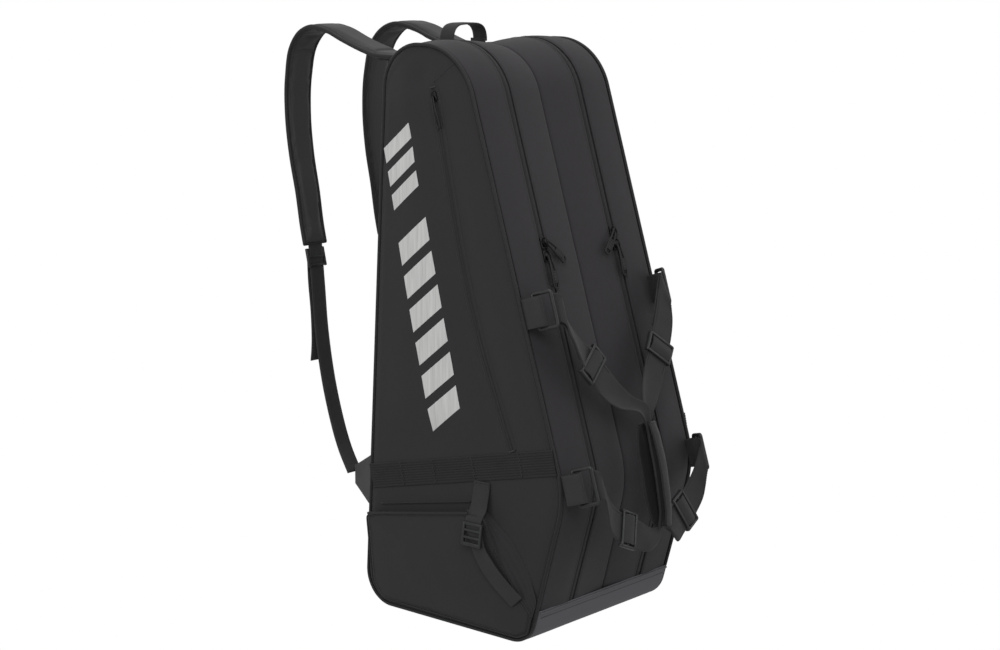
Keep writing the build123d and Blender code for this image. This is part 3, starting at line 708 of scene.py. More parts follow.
def make_materials(tones):
    woven("shell_fabric", tones.shell, 0.75 * MM)
    # Side fabric: the shell's cloth with its tone darkened as painted shade on the faces turned from the
    # light
    woven("side_fabric", tones.side, 0.75 * MM)
    woven("wrap_fabric", tones.wrap, 0.6 * MM, sheen=0.2)
    woven("pad_fabric", tones.pad, 0.7 * MM, roughness=0.72, sheen=0.16)
    woven("lining", tones.lining, 0.5 * MM, roughness=0.6, depth=0.05 * MM, twill=True)
    woven("piping", tones.piping, 0.9 * MM, roughness=0.6, twill=True)
    webbed("webbing", tones.webbing, 1.5 * MM)
    webbed("band_ribbing", tones.band, 1.2 * MM, roughness=0.78)
    webbed("thread", tones.thread, 0.5 * MM, roughness=0.55, depth=0.1 * MM)
    webbed("zip", tones.zip, 1.0 * MM, roughness=0.5, depth=0.08 * MM)
    moulded("hardware", tones.hardware, 0.33, coat=0.15)
    moulded("slider", tones.slider, 0.3, metallic=0.6, depth=0.01 * MM)
    moulded("pull_cord", tones.pull, 0.5, grain=1400, depth=0.08 * MM)
    moulded("board", (0.08, 0.08, 0.08), 0.5)
    tree, main = shader("boot_coating", tones.boot, 0.55)
    place = coordinates(tree, "Object")
    grain, mottle = speckle(tree, place, 1500, 2.0), speckle(tree, place, 16, 3.0)
    tinted(tree, main, mottle, *shades(tones.boot, 0.12))
    tree.links.new(spread(tree, mottle, 0.46, 0.62), main.inputs["Roughness"])
    bumped(tree, main, grain, 0.08 * MM, 0.5)
    tree, main = shader("back_mesh", tones.back, 0.85, sheen=0.2)
    cells = tree.nodes.new("ShaderNodeTexVoronoi")
    cells.inputs["Scale"].default_value = 420
    tree.links.new(coordinates(tree, "Object"), cells.inputs["Vector"])
    tinted(tree, main, cells.outputs["Distance"], *shades(tones.back, 0.5))
    bumped(tree, main, cells.outputs["Distance"], 0.5 * MM, 0.8)
    tree, main = shader("side_print", tones.print_silver, 0.42, metallic=0.15)
    streaks = speckle(tree, coordinates(tree, "Object", (1, 240, 14)), 1.0, 3.0, 0.6)
    fine = speckle(tree, coordinates(tree, "Object", (1, 1800, 60)), 1.0, 1.0)
    tinted(tree, main, streaks, *shades(tones.print_silver, 0.30))
    tree.links.new(spread(tree, fine, 0.3, 0.48), main.inputs["Roughness"])
    bumped(tree, main, fine, 0.04 * MM, 0.5)


# -------------------------------------------------- settings a user can change


def length(name, description, value, top):
    return FloatProperty(name=name, description=description, default=value, min=0, max=top, unit="LENGTH")


def tone(name, description, value):
    return FloatVectorProperty(name=name, description=description, default=value, min=0, max=1, size=3,
        subtype="COLOR")


class BagLooks(bpy.types.PropertyGroup):
    """Sizes of the soft shapes and their stitching."""

    valley_depth: length("Valley depth", "How deep the centre seam lies between the two lobes", 8.5 * MM,
        0.02)
    crest_height: length("Crest height", "How far the lobes stand over the outline at the zips", 1.2 * MM,
        0.01)
    side_bulge: length("Side bulge", "How far the side panels swell", 4.5 * MM, 0.02)
    stitch_pitch: length("Stitch pitch", "Distance from stitch to stitch", 3.2 * MM, 0.01)
    thread_thickness: length("Thread thickness", "Thickness of the sewing thread", 0.55 * MM, 0.002)
    tooth_pitch: length("Tooth pitch", "Distance from tooth to tooth of the zips", 1.8 * MM, 0.005)


class BagTones(bpy.types.PropertyGroup):
    """Colours of the bag's materials."""

    shell: tone("Shell", "Front, crown and gussets", (0.036, 0.0325, 0.0365))
    # Painted shade: the sides' tone is the shell's tone made darker for the faces turned from the light
    side: tone("Sides", "Side panels and pockets", (0.030, 0.0275, 0.030))
    boot: tone("Boot", "Coated base", (0.135, 0.134, 0.150))
    webbing: tone("Webbing", "Handles, tabs and straps", (0.036, 0.038, 0.036))
    band: tone("Band", "Ribbed band on the sides", (0.022, 0.022, 0.022))
    piping: tone("Piping", "Bead along the sides", (0.016, 0.016, 0.017))
    zip: tone("Zips", "Coils and tapes", (0.034, 0.034, 0.037))
    slider: tone("Sliders", "Enamel of the sliders", (0.02, 0.02, 0.021))
    pull: tone("Pulls", "Cord of the zip pulls", (0.014, 0.014, 0.015))
    hardware: tone("Hardware", "Tri-glides, ladder locks and rings", (0.03, 0.031, 0.031))
    thread: tone("Thread", "Sewing thread", (0.05, 0.049, 0.052))
    pad: tone("Strap pads", "Shoulder straps", (0.055, 0.055, 0.055))
    wrap: tone("Wrap", "Grip wrap", (0.022, 0.021, 0.023))
    lining: tone("Lining", "Inside of the bag", (0.05, 0.05, 0.054))
    back: tone("Back mesh", "Padded back", (0.035, 0.035, 0.037))
    print_silver: tone("Print", "Silver print on the sides", (0.88, 0.88, 0.87))


# -------------------------------------------------- shells, boot and seams

INNER_EDGE = ZIP_X - ZIP_OPENING
OUTER_EDGE = ZIP_X + ZIP_OPENING
SHELL_EDGE = HALF_WIDTH - 4.2 * MM
SHELL_START = S_BOOT - 0.006
SHELL_FOLD = 1.4 * MM


def shell_point(x, s, looks, lift=0.0):
    """Point on the gussets' outer face, with wrinkles across the bends."""
    h = lobe_height(x, s, looks) + lift
    h += 0.55 * MM * ripple(x, s, 1.7, 0.055) * smooth((abs(abs(x) - ZIP_X) - 6 * MM) / 0.02)
    z = rim(s)[0].y
    pull = exp(-((z - 0.205) / 0.035) ** 2) * 0.7 * MM * ripple(x * 0.5, s * 3, 5.2, 0.03)
    return wrap(x, s, h + pull * smooth((abs(abs(x) - ZIP_X) - 6 * MM) / 0.02))


def folded_columns(near, far, count, fold):
    """Positions across a panel whose near edge is folded under."""
    inner = [(near, -2.6 * MM), (near, -1.2 * MM), (near, -0.3 * MM)]
    body = [(near + (far - near) * i / count, 0.0) for i in range(1, count + 1)]
    first = (near + (1 if far > near else -1) * fold * 0.45, 0.0)
    return inner + [first] + body


def gusset(near, far, s0, s1, looks, count=16, rows=150):
    """Panel over the outline from a folded zip edge to its other edge."""
    columns = folded_columns(near, far, count, SHELL_FOLD)
    n = len(columns) - 1

    def place(u, v):
        x, drop = columns[round(u * n)]
        s = s0 + (s1 - s0) * v
        p = shell_point(x, s, looks)
        return p + wrap_normal(s) * drop

    def flat(u, v):
        return columns[round(u * n)][0], s0 + (s1 - s0) * v

    return mapped_grid(n, rows, place, flat, BAG_MIDDLE)


def shell_line(x, s0, s1, lift, looks, step=2.0 * MM):
    count = max(int((s1 - s0) / step), 2)
    marks = [s0 + (s1 - s0) * i / count for i in range(count + 1)]
    return [shell_point(x, s, looks, lift) for s in marks], [wrap_normal(s) for s in marks]


def make_shells(looks):
    halves = []
    for sign in (-1, 1):
        def place(u, v, sign=sign):
            columns = [0.0, 0.35 * MM, 1.2 * MM,
                2.4 * MM] + [2.4 * MM + (INNER_EDGE - 2.4 * MM) * i / 14 for i in range(1, 15)]
            tail = [(INNER_EDGE, -0.3 * MM), (INNER_EDGE, -1.2 * MM), (INNER_EDGE, -2.6 * MM)]
            spots = [(x, 0.0) for x in columns[:-1]] + [(INNER_EDGE - SHELL_FOLD * 0.45, 0.0)] + tail
            x, drop = spots[round(u * (len(spots) - 1))]
            seam = -2.2 * MM * exp(-((x / (1.0 * MM)) ** 2))
            s = SHELL_START + (S_SPLIT - SHELL_START) * v
            return shell_point(sign * x, s, looks) + wrap_normal(s) * (drop + seam)

        halves.append(mapped_grid(21, 170, place, lambda u, v: (u * INNER_EDGE, v * (S_SPLIT - SHELL_START)),
            BAG_MIDDLE))
    whole = joined(*halves)
    bmesh.ops.remove_doubles(whole, verts=whole.verts[:], dist=0.01 * MM)
    shell = finished("inner gusset", whole, ["shell_fabric", "lining"], [thick(2.4 * MM, True), rounded()])
    put(shell, "core", "shell_fabric", "left_inner_gusset", "right_inner_gusset")
    seams = bmesh.new()
    for x in (-(INNER_EDGE - 3.2 * MM), INNER_EDGE - 3.2 * MM):
        stitch_line(seams, *shell_line(x, SHELL_START + 8 * MM, S_SPLIT - 3 * MM, 0.15 * MM, looks), looks)
    put(finished("inner stitching", seams, "thread"), "core", "shell_fabric")
    for side, sign in SIDES:
        outer = gusset(-OUTER_EDGE, -SHELL_EDGE, SHELL_START, S_SPLIT, looks)
        seams = bmesh.new()
        stitch_line(
            seams, *shell_line(-(OUTER_EDGE + 3.2 * MM), SHELL_START + 8 * MM, S_SPLIT - 3 * MM, 0.15 * MM,
            looks), looks
        )
        if sign > 0:
            mirror_all(outer, seams)
        outer = finished(side + " outer gusset", outer, ["shell_fabric", "lining"],
            [thick(2.4 * MM, True), rounded()])
        bend(outer, side, sign, "shell_fabric", side + "_outer_gusset")
        bend(finished(side + " gusset stitching", seams, "thread"), side, sign, "shell_fabric")


def make_boot(looks):
    """Coated base with a turned-up wall and a bound edge."""
    half = HALF_WIDTH - 1.5 * MM
    start, end = S_BOOT_BACK - RIM_LENGTH - 0.002, S_BOOT + 0.004
    across = [-half, -half + 0.7 * MM,
        -half + 3 * MM] + [-half + 3 * MM + (2 * half - 6 * MM) * i / 22 for i in range(1, 22)]
    across += [half - 3 * MM, half - 0.7 * MM, half]

    def rise(x, s):
        edge = (half - abs(x)) / (4 * MM)
        round_off = -2.0 * MM * (1 - sqrt(max(1 - (1 - min(edge, 1)) ** 2, 0)))
        z = rim(s)[0].y
        return 1.6 * MM * smooth(z / 0.02) + round_off + 0.3 * MM * ripple(x, s, 0.4, 0.05) * smooth(z / 0.01)

    def place(u, v):
        x = across[round(u * (len(across) - 1))]
        s = start + (end - start) * v
        p = wrap(x, s, rise(x, s))
        p.z = max(p.z, 0.35 * MM)
        return p

    base = mapped_grid(len(across) - 1, 90, place, lambda u, v: (u * 2 * half, v * (end - start)), BAG_MIDDLE)
    boot = finished("base boot", base, ["boot_coating", "lining"], [thick(2.2 * MM, True), rounded()])
    put(boot, "core", "boot_coating", "base_boot")
    binding = []
    for s in (S_BOOT + 1.5 * MM, S_BOOT_BACK):
        line = [wrap(x, s, 2.6 * MM + 0.25 * MM * ripple(x, s, 9.0, 0.02)) for x in
                [-half + 1.2 * MM + (2 * half - 2.4 * MM) * i / 90 for i in range(91)]]
        binding.append(tube(line, 1.0 * MM, 10, up=Z_AXIS))
    put(finished("boot binding", joined(*binding), "boot_coating"), "core", "boot_coating")
    seam = bmesh.new()
    xs = [-half + 6 * MM + (2 * half - 12 * MM) * i / 160 for i in range(161)]
    s = S_BOOT - 6.5 * MM
    stitch_line(seam, [wrap(x, s, 1.75 * MM) for x in xs], [wrap_normal(s)] * len(xs), looks)
    put(finished("boot stitching", seam, "thread"), "core", "boot_coating")


def make_back(looks):
    """Padded mesh back with channels, from the crown down to the boot."""
    half = HALF_WIDTH - 7.5 * MM
    start, end = S_SPLIT - 1.0 * MM, S_BOOT_BACK + 8 * MM

    def puff(x, s):
        edge = smooth((half - abs(x)) / 0.018) * smooth((s - start) / 0.02) * smooth((end - s) / 0.03)
        spine = 1 - 0.75 * exp(-((x / (7 * MM)) ** 2))
        down = (s - start - 0.10) / 0.105
        rows = 1 - 0.6 * exp(-(((down - round(down)) * 0.105) / (5 * MM)) ** 2) * (1 if 0.6 < down < 5.6
            else 0)
        z = rim(s)[0].y
        high = smooth((0.70 - z) / 0.05)
        return -1.0 * MM + 1.6 * MM * edge + 5.0 * MM * edge * spine * rows * high

    def place(u, v):
        x, s = (2 * u - 1) * half, start + (end - start) * v
        return wrap(x, s, puff(x, s) - 1.2 * MM * smooth((abs(x) / half - 0.96) / 0.04))

    sheet = mapped_grid(70, 190, place, lambda u, v: (u * 2 * half, v * (end - start)), BAG_MIDDLE)
    back = finished("back panel", sheet, "back_mesh", [thick(7 * MM)])
    put(back, "core", "back_mesh", "back_panel")
    edges = []
    for sign in (-1, 1):
        marks = [start + (end - start) * i / 160 for i in range(161)]
        edges.append(tube([wrap(sign * (half - 1.0 * MM), s, 0.2 * MM) for s in marks], 1.9 * MM, 8,
            up=X_AXIS))
    edges.append(tube([wrap((2 * i / 60 - 1) * (half - 1.5 * MM), start + 1 * MM, 0.6 * MM)
        for i in range(61)], 1.9 * MM, 8))
    put(finished("back binding", joined(*edges), "piping"), "core", "back_mesh")
    seam = bmesh.new()
    marks = [start + 0.015 + (end - start - 0.03) * i / 250 for i in range(251)]
    stitch_line(seam, [wrap(0, s, puff(0, s) + 0.2 * MM) for s in marks], [wrap_normal(s) for s in marks],
        looks)
    put(finished("back stitching", seam, "thread"), "core", "back_mesh")


# -------------------------------------------------- zips


def zip_strips(looks, sign, s0, s1, side):
    """Half of a main zip: tape and coil on one side of its middle line. side -1 is towards the bag's
    middle.
    """
    rows = int((s1 - s0) / (5 * MM))

    def place(u, v):
        x = ZIP_X + side * (0.25 * MM + u * 11 * MM)
        s = s0 + (s1 - s0) * v
        h = lobe_height(sign * ZIP_X, s, looks) - 2.6 * MM
        return wrap(-x, s, h)

    tape = mapped_grid(3, rows, place, lambda u, v: (u * 11 * MM, v * (s1 - s0)), BAG_MIDDLE)
    teeth, made = bmesh.new(), []
    count = int((s1 - s0) / looks.tooth_pitch)
    for i in range(count):
        s = s0 + (i + (0.5 if side > 0 else 0.0)) * looks.tooth_pitch
        h = lobe_height(ZIP_X, s, looks) - 1.6 * MM
        p = wrap(-(ZIP_X + side * 1.1 * MM), s, h)
        ahead = wrap(-(ZIP_X + side * 1.1 * MM), s + MM, h)
        place = basis(p, X_AXIS, ahead - p)
        made.append(place @ Matrix.Diagonal((3.6 * MM, looks.tooth_pitch * 0.62, 1.5 * MM, 1)))
    cubes(teeth, made)
    cord = [wrap(-(ZIP_X + side * 2.7 * MM), s0 + (s1 - s0) * i / rows,
        lobe_height(ZIP_X, s0 + (s1 - s0) * i / rows, looks)
                 - 1.7 * MM) for i in range(rows + 1)]
    return tape, joined(teeth, tube(cord, 0.75 * MM, 6, up=X_AXIS))


def make_zips(looks):
    s0, s1 = S_BOOT - 2 * MM, S_SPLIT - 1 * MM
    for side, sign in SIDES:
        for reach in (-1, 1):
            tape, teeth = zip_strips(looks, sign, s0, s1, reach)
            if sign > 0:
                mirror_all(tape, teeth)
            name = "main zip {} {}".format(side, "inner" if reach < 0 else "outer")
            tape = finished(name + " tape", tape, "zip", [thick(1.0 * MM)])
            teeth = finished(name + " coil", teeth, "zip")
            if reach < 0:
                put(tape, "core", "zip")
                put(teeth, "core", "zip")
            else:
                bend(tape, side, sign, "zip", side + "_zip_outer")
                bend(teeth, side, sign, "zip")
    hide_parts("main_zips_inner")
    for side, sign in SIDES:
        make_side_zip(side, sign, looks)


def side_zip_rows():
    """Points along the side zip with the direction across it."""
    points = []
    for i in range(0, 121):
        row = smooth_at([np.array([p.x, p.y, 0.0]) for p in SIDE_ZIP], i / 120)
        points.append(Vector(row[:2]))
    rows = []
    for i, p in enumerate(points):
        way = (points[min(i + 1, 120)] - points[max(i - 1, 0)]).normalized()
        rows.append((p, Vector((way.y, -way.x))))
    return rows


def make_side_zip(side, sign, looks):
    rows = side_zip_rows()
    last = len(rows) - 1
    profile = [(-8.5, -0.1), (-8.3, 0.7), (-4.6, 1.2), (-3.3, 1.15), (-2.9, 0.3), (-2.9, -0.3), (2.9, -0.3),
        (2.9, 0.3),
               (3.3, 1.15), (4.6, 1.2), (8.3, 0.7), (8.5, -0.1)]

    def place(u, v):
        a, lift = profile[round(u * (len(profile) - 1))]
        p, across = rows[round(v * last)]
        spot = p + across * a * MM
        return on_side(spot.x, spot.y, lift * MM, looks)

    lips = mapped_grid(len(profile) - 1, last, place, lambda u, v: (u * 17 * MM, v * 0.5),
        Vector((0, -0.02, 0.5)))
    zips = bmesh.new()
    seams = bmesh.new()
    travelled = 0.0
    for (a, across), (b, _) in zip(rows, rows[1:]):
        travelled += (b - a).length
    count, made = int(travelled / looks.tooth_pitch), []
    for i in range(count):
        at = i / count * last
        p, across = rows[int(at)]
        q, _ = rows[min(int(at) + 1, last)]
        p = p.lerp(q, at - int(at)) + across * (0.5 * MM if i % 2 else -0.5 * MM)
        spot = on_side(p.x, p.y, 0.1 * MM, looks)
        block_at = basis(spot, Vector((0, across.x, across.y)), Vector((0, -across.y, across.x)))
        made.append(block_at @ Matrix.Diagonal((3.4 * MM, looks.tooth_pitch * 0.6, 0.9 * MM, 1)))
    cubes(zips, made)
    for offset in (-6.6 * MM, 6.6 * MM):
        line = []
        for p, across in rows:
            spot = p + across * offset
            line.append(on_side(spot.x, spot.y, 1.0 * MM, looks))
        stitch_line(seams, line, [-X_AXIS] * len(line), looks)
    for end in (0, last):
        p, across = rows[end]
        spot = on_side(p.x, p.y, 1.3 * MM, looks)
        block(seams, basis(spot, Vector((0, across.x, across.y)), Vector((0, -across.y, across.x))),
              (11 * MM, 2.2 * MM, 1.2 * MM), 0.4 * MM)
    if sign > 0:
        mirror_all(lips, zips, seams)
    bend(finished(side + " side zip lips", lips, "piping", [rounded()]), side, sign, "zip",
        side + "_side_zip")
    bend(finished(side + " side zip coil", zips, "zip"), side, sign, "zip")
    bend(finished(side + " side zip stitching", seams, "thread"), side, sign, "zip")


def slider_body(place, length_, width, height):
    """Slider with a waisted top plate, a lower plate and a bridge."""
    bm = bmesh.new()
    block(bm, place @ Matrix.Translation((0, 0, height * 0.22)), (width, length_, height * 0.44), 0.9 * MM, 3)
    block(bm, place @ Matrix.Translation((0, -length_ * 0.22, height * 0.24)),
        (width * 1.12, length_ * 0.5, height * 0.4), 1.0 * MM, 3)
    return bm


def make_sliders():
    """Main sliders with their cord pulls, and the side zips' sliders."""
    for side, sign in SIDES:
        for which, up in (("upper", 1), ("lower", -1)):
            make_slider(side, sign, which, up)
        make_side_slider(side, sign)


def cord_pull(start, way, out, long, radius=1.35 * MM, spread_by=4.2 * MM):
    """Loop of cord from the slider's bar, with a moulded end."""
    across = way.cross(out).normalized()
    points = []
    for i in range(13):
        turn = pi * i / 12
        points.append(start - way * 1.6 * MM * sin(turn) + across * spread_by * 0.55 * cos(turn))
    for i in range(1, 12):
        t = i / 12
        points.append(start + way * long * t - across * spread_by * (0.55 + 0.45 * smooth(t * 1.3))
            + out * 1.2 * MM * sin(pi * t))
    for i in range(13):
        turn = pi * i / 12
        points.append(start + way * (long + 3.6 * MM * sin(turn)) - across * spread_by * cos(turn))
    for i in range(11, 0, -1):
        t = i / 12
        points.append(start + way * long * t + across * spread_by * (0.55 + 0.45 * smooth(t * 1.3))
            + out * 1.2 * MM * sin(pi * t))
    points.append(points[0].copy())
    return tube(points, radius, 10, up=out, loop=True)


def make_slider(side, sign, which, up):
    node = "{}_{}_slider".format(side, which)
    low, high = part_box(node)
    middle = (low + high) / 2
    s = (middle - FACE_ORIGIN).dot(FACE_UP)
    at = face(sign * ZIP_X, s, 0.6 * MM)
    place = basis(at, X_AXIS, FACE_UP)
    body = slider_body(place, 15 * MM, 11 * MM, 6.4 * MM)
    ends = []
    for reach in (-5.2, 5.2):
        ends.append(place @ Vector((0, reach * MM, 2.6 * MM)))
    arch = [ends[0], place @ Vector((0, -5.0 * MM, 6.2 * MM)), place @ Vector((0, -2.6 * MM, 8.2 * MM)),
            place @ Vector((0, 2.6 * MM, 8.2 * MM)), place @ Vector((0, 5.0 * MM, 6.2 * MM)), ends[1]]
    numbers = [np.array([*p]) for p in arch]
    line = [Vector(smooth_at(numbers, i / 24)) for i in range(25)]
    body = joined(body, tube(line, 1.05 * MM, 8, up=X_AXIS))
    slider = finished(node, body, "slider", [softened(0.4 * MM)])
    put(slider, node, "slider", node)
    pull = "{}_{}_pull".format(side, which)
    low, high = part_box(pull)
    middle = (low + high) / 2
    bar = place @ Vector((0, (1.0 if up > 0 else -1.0) * 2 * MM, 6.6 * MM))
    way = middle - bar
    way -= FACE_OUT * way.dot(FACE_OUT)
    way = way.normalized()
    long = 37 * MM
    cord = cord_pull(bar + way * 0.5 * MM, way, FACE_OUT, long)
    centre = bar + way * (long * 0.72) + FACE_OUT * 0.9 * MM
    grip = bmesh.new()
    block(grip, basis(centre, way.cross(FACE_OUT), way), (8.6 * MM, long * 0.46, 3.4 * MM), 1.4 * MM, 3)
    for i in range(4):
        ridge = bar + way * (long * (0.56 + 0.1 * i)) + FACE_OUT * 2.6 * MM
        block(grip, basis(ridge, way.cross(FACE_OUT), way), (7.4 * MM, 1.1 * MM, 0.9 * MM), 0.35 * MM)
    put(finished(pull, joined(cord, grip), "pull_cord"), pull, "pull_cord", pull)


def make_side_slider(side, sign):
    node = side + "_side_slider"
    low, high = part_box(node)
    middle = (low + high) / 2
    way = Vector((0, SIDE_ZIP[0].x - SIDE_ZIP[1].x, SIDE_ZIP[0].y - SIDE_ZIP[1].y)).normalized()
    at = Vector((sign * (HALF_WIDTH + 3.4 * MM), middle.y, middle.z))
    across = way.cross(X_AXIS) * (1 if sign < 0 else -1)
    place = basis(at, across, way)
    if (place.to_3x3() @ Z_AXIS).x * sign < 0:
        place = basis(at, -across, way)
    body = slider_body(place, 12 * MM, 9 * MM, 5.2 * MM)
    put(finished(node, body, "slider", [softened(0.3 * MM)]), node, "slider", node)
    pull = side + "_side_pull"
    low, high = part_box(pull)
    middle = (low + high) / 2
    start = Vector((sign * (HALF_WIDTH + 7.4 * MM), at.y, at.z)) - way * 2 * MM
    down = Vector((0, middle.y - start.y, middle.z - start.z)).normalized()
    reach = max(high.z - low.z, 0.012) * 0.82
    cord = cord_pull(start, down, X_AXIS * sign, reach, 1.0 * MM, 2.4 * MM)
    put(finished(pull, cord, "pull_cord"), pull, "pull_cord", pull)


# -------------------------------------------------- sides: panels, piping, band, print and pockets


def rim_inset(s, inset):
    p, n = rim(s)
    return p - n * inset


def make_side_panels(looks):
    middle = Vector((-0.010, 0.36))
    inset = 3.9 * MM
    for side, sign in SIDES:
        def place(spot, v):
            x = PANEL_X - side_height(spot.x, spot.y, looks)
            rolled = smooth((v - 0.93) / 0.07)
            return Vector((x * (1 - rolled) - (HALF_WIDTH - 0.4 * MM) * rolled, spot.x, spot.y))

        sheet = disc(lambda t: rim_inset(t * RIM_LENGTH, inset), middle, (40, 220), place)
        face_outwards(sheet, Vector((0, -0.02, 0.36)))
        seam = bmesh.new()
        a, b = Vector((0.012, 0.711)), Vector((-0.024, 0.738))
        line = [on_side(*a.lerp(b, i / 20), 0.3 * MM, looks) for i in range(21)]
        stitch_line(seam, line, [-X_AXIS] * 21, looks, 1.4 * MM)
        if sign > 0:
            mirror_all(sheet, seam)
        panel = finished(side + " side panel", sheet, ["side_fabric", "lining"], [thick(2.2 * MM, True)])
        bend(panel, side, sign, "side_fabric", side + "_side_panel")
        bend(finished(side + " panel seam", seam, "thread"), side, sign, "side_fabric")
        count = 560
        bead = tube([Vector((-HALF_WIDTH, *rim_inset(i / count * RIM_LENGTH, 2.2 * MM)))
            for i in range(count + 1)],
                    2.35 * MM, 10, up=X_AXIS, loop=True)
        if sign > 0:
            mirrored(bead)
        bend(finished(side + " piping", bead, "piping"), side, sign, "piping", side + "_piping")
        make_print(side, sign, looks)
        make_band(side, sign, looks)
        make_pocket(side, sign, looks)
        make_floor(side, sign)


def make_floor(side, sign):
    """Compartment floor that closes the wedge under an opened side."""
    start, end = S_BOOT_BACK - RIM_LENGTH + 4 * MM, S_BOOT - 2 * MM
    columns = [HALF_WIDTH - 12 * MM, HALF_WIDTH - 5 * MM]

    def place(u, v):
        x = columns[0] + (columns[1] - columns[0]) * u
        return wrap(-x, start + (end - start) * v, -4.6 * MM)

    floor = mapped_grid(6, 70, place, None, BAG_MIDDLE)
    if sign > 0:
        mirrored(floor)
    obj = finished(side + " compartment floor", floor, "lining", [thick(0.8 * MM)])
    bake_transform(obj)


BARS = (  # generic slanted bars: distance down the print, length along it, half width
    (0, 20, 27), (31, 20, 27), (62, 20, 27), (124, 30, 29), (168, 30, 29), (212, 30, 29), (256, 30, 29),
    (300, 30, 29), (344, 30, 29),
)


def make_print(side, sign, looks):
    """Slanted silver bars down the side, as a thin print."""
    start, way = Vector((0.078, 0.640)), (Vector((-0.010, 0.275)) - Vector((0.078, 0.640)))
    way = way.normalized()
    across = Vector((-way.y, way.x))
    whole = None
    for down, long, half in BARS:
        def place(u, v, down=down, long=long, half=half):
            side_by = (2 * u - 1) * half * MM
            along = (down + long * v) * MM + side_by * 0.45
            p = start + way * along + across * side_by
            return on_side(p.x, p.y, 0.35 * MM, looks)

        bar = mapped_grid(8, 8, place, lambda u, v: (u * 0.04, v * 0.04), Vector((0, -0.02, 0.45)))
        whole = bar if whole is None else joined(whole, bar)
    if sign > 0:
        mirrored(whole)
    bend(finished(side + " print", whole, "side_print"), side, sign, "side_print")


def make_band(side, sign, looks):
    """Ribbed band across the side with stitched edges and tacks."""
    a, b = Vector((0.1305, 0.1772)), Vector((-0.1905, 0.2485))
    way = (b - a).normalized()
    across = Vector((way.y, -way.x))
    if across.y < 0:
        across = -across
    profile = [(-16.6, -0.4), (-16.5, 1.2), (-14.6, 1.7), (-13.6, 0.9)]
    for i in range(8):
        y = -12.6 + i * 3.3
        profile += [(y, 1.0), (y + 0.9, 1.9), (y + 2.1, 1.9), (y + 2.9, 1.0)]
    profile += [(14.2, 0.9), (14.8, 1.7), (16.5, 1.2), (16.6, -0.4)]

    def place(u, v):
        off, lift = profile[round(u * (len(profile) - 1))]
        p = a.lerp(b, v) + across * off * MM
        return on_side(p.x, p.y, lift * MM + 0.3 * MM * ripple(v * 3, u, 2.0, 0.4), looks)

    ribbon = mapped_grid(len(profile) - 1, 60, place, lambda u, v: (u * 33 * MM, v * 0.36),
        Vector((0, -0.02, 0.2)))
    seams = bmesh.new()
    for off in (-14.0, 14.0):
        line = [on_side(*(a.lerp(b, i / 160) + across * off * MM), 1.1 * MM, looks) for i in range(161)]
        stitch_line(seams, line, [-X_AXIS] * 161, looks, 2.6 * MM)
    for y in (0.072, 0.014, -0.055, -0.135):
        t = (y - a.x) / (b.x - a.x)
        for step in range(-6, 7):
            p = a.lerp(b, t) + across * step * 2.3 * MM + way * (0.8 * MM if step % 2 else -0.8 * MM)
            spot = on_side(p.x, p.y, 2.1 * MM, looks)
            place_at = basis(spot, Vector((0, across.x, across.y)), Vector((0, way.x, way.y)))
            bmesh.ops.create_cube(seams, size=1,
                matrix=place_at @ Matrix.Diagonal((2.4 * MM, 0.9 * MM, 0.7 * MM, 1)))
    if sign > 0:
        mirror_all(ribbon, seams)
    bend(finished(side + " band", ribbon, "band_ribbing"), side, sign, "band_ribbing", side + "_band")
    bend(finished(side + " band stitching", seams, "thread"), side, sign, "band_ribbing")


POCKET_OUTLINE = [(112, 10), (128, 30), (130, 125), (106, 132), (-56, 162), (-84, 160), (-110, 104),
    (-134, 67), (-156, 44),
                  (-148, 17), (-130, 8)]
POCKET_PANEL = [(103, 10), (133, 30), (135, 127), (106, 144), (-50, 173), (-74, 168), (-120, 136),
    (-150, 96), (-162, 62),
                (-146, 18), (-126, 8)]
POCKET_LEAN = tan(radians(5))


def rounded_outline(points, steps):
    """Points along a closed outline with softened corners."""
    marks = []
    count = len(points)
    for i in range(count):
        a, b = Vector(points[i]) * MM, Vector(points[(i + 1) % count]) * MM
        c = Vector(points[(i + 2) % count]) * MM
        cut = min(6 * MM, (b - a).length * 0.35, (c - b).length * 0.35)
        marks.append((b - (b - a).normalized() * cut, b, b + (c - b).normalized() * cut))
    line = []
    for i in range(count):
        before, this = marks[i - 1], marks[i]
        for k in range(steps):
            line.append(before[2].lerp(this[0], k / steps))
        for k in range(steps // 2):
            t = k / (steps // 2)
            line.append(this[0] * (1 - t) ** 2 + this[1] * 2 * t * (1 - t) + this[2] * t * t)
    return line


def outline_at(line, t):
    at = (t % 1) * len(line)
    i = int(at) % len(line)
    return line[i].lerp(line[(i + 1) % len(line)], at - int(at))


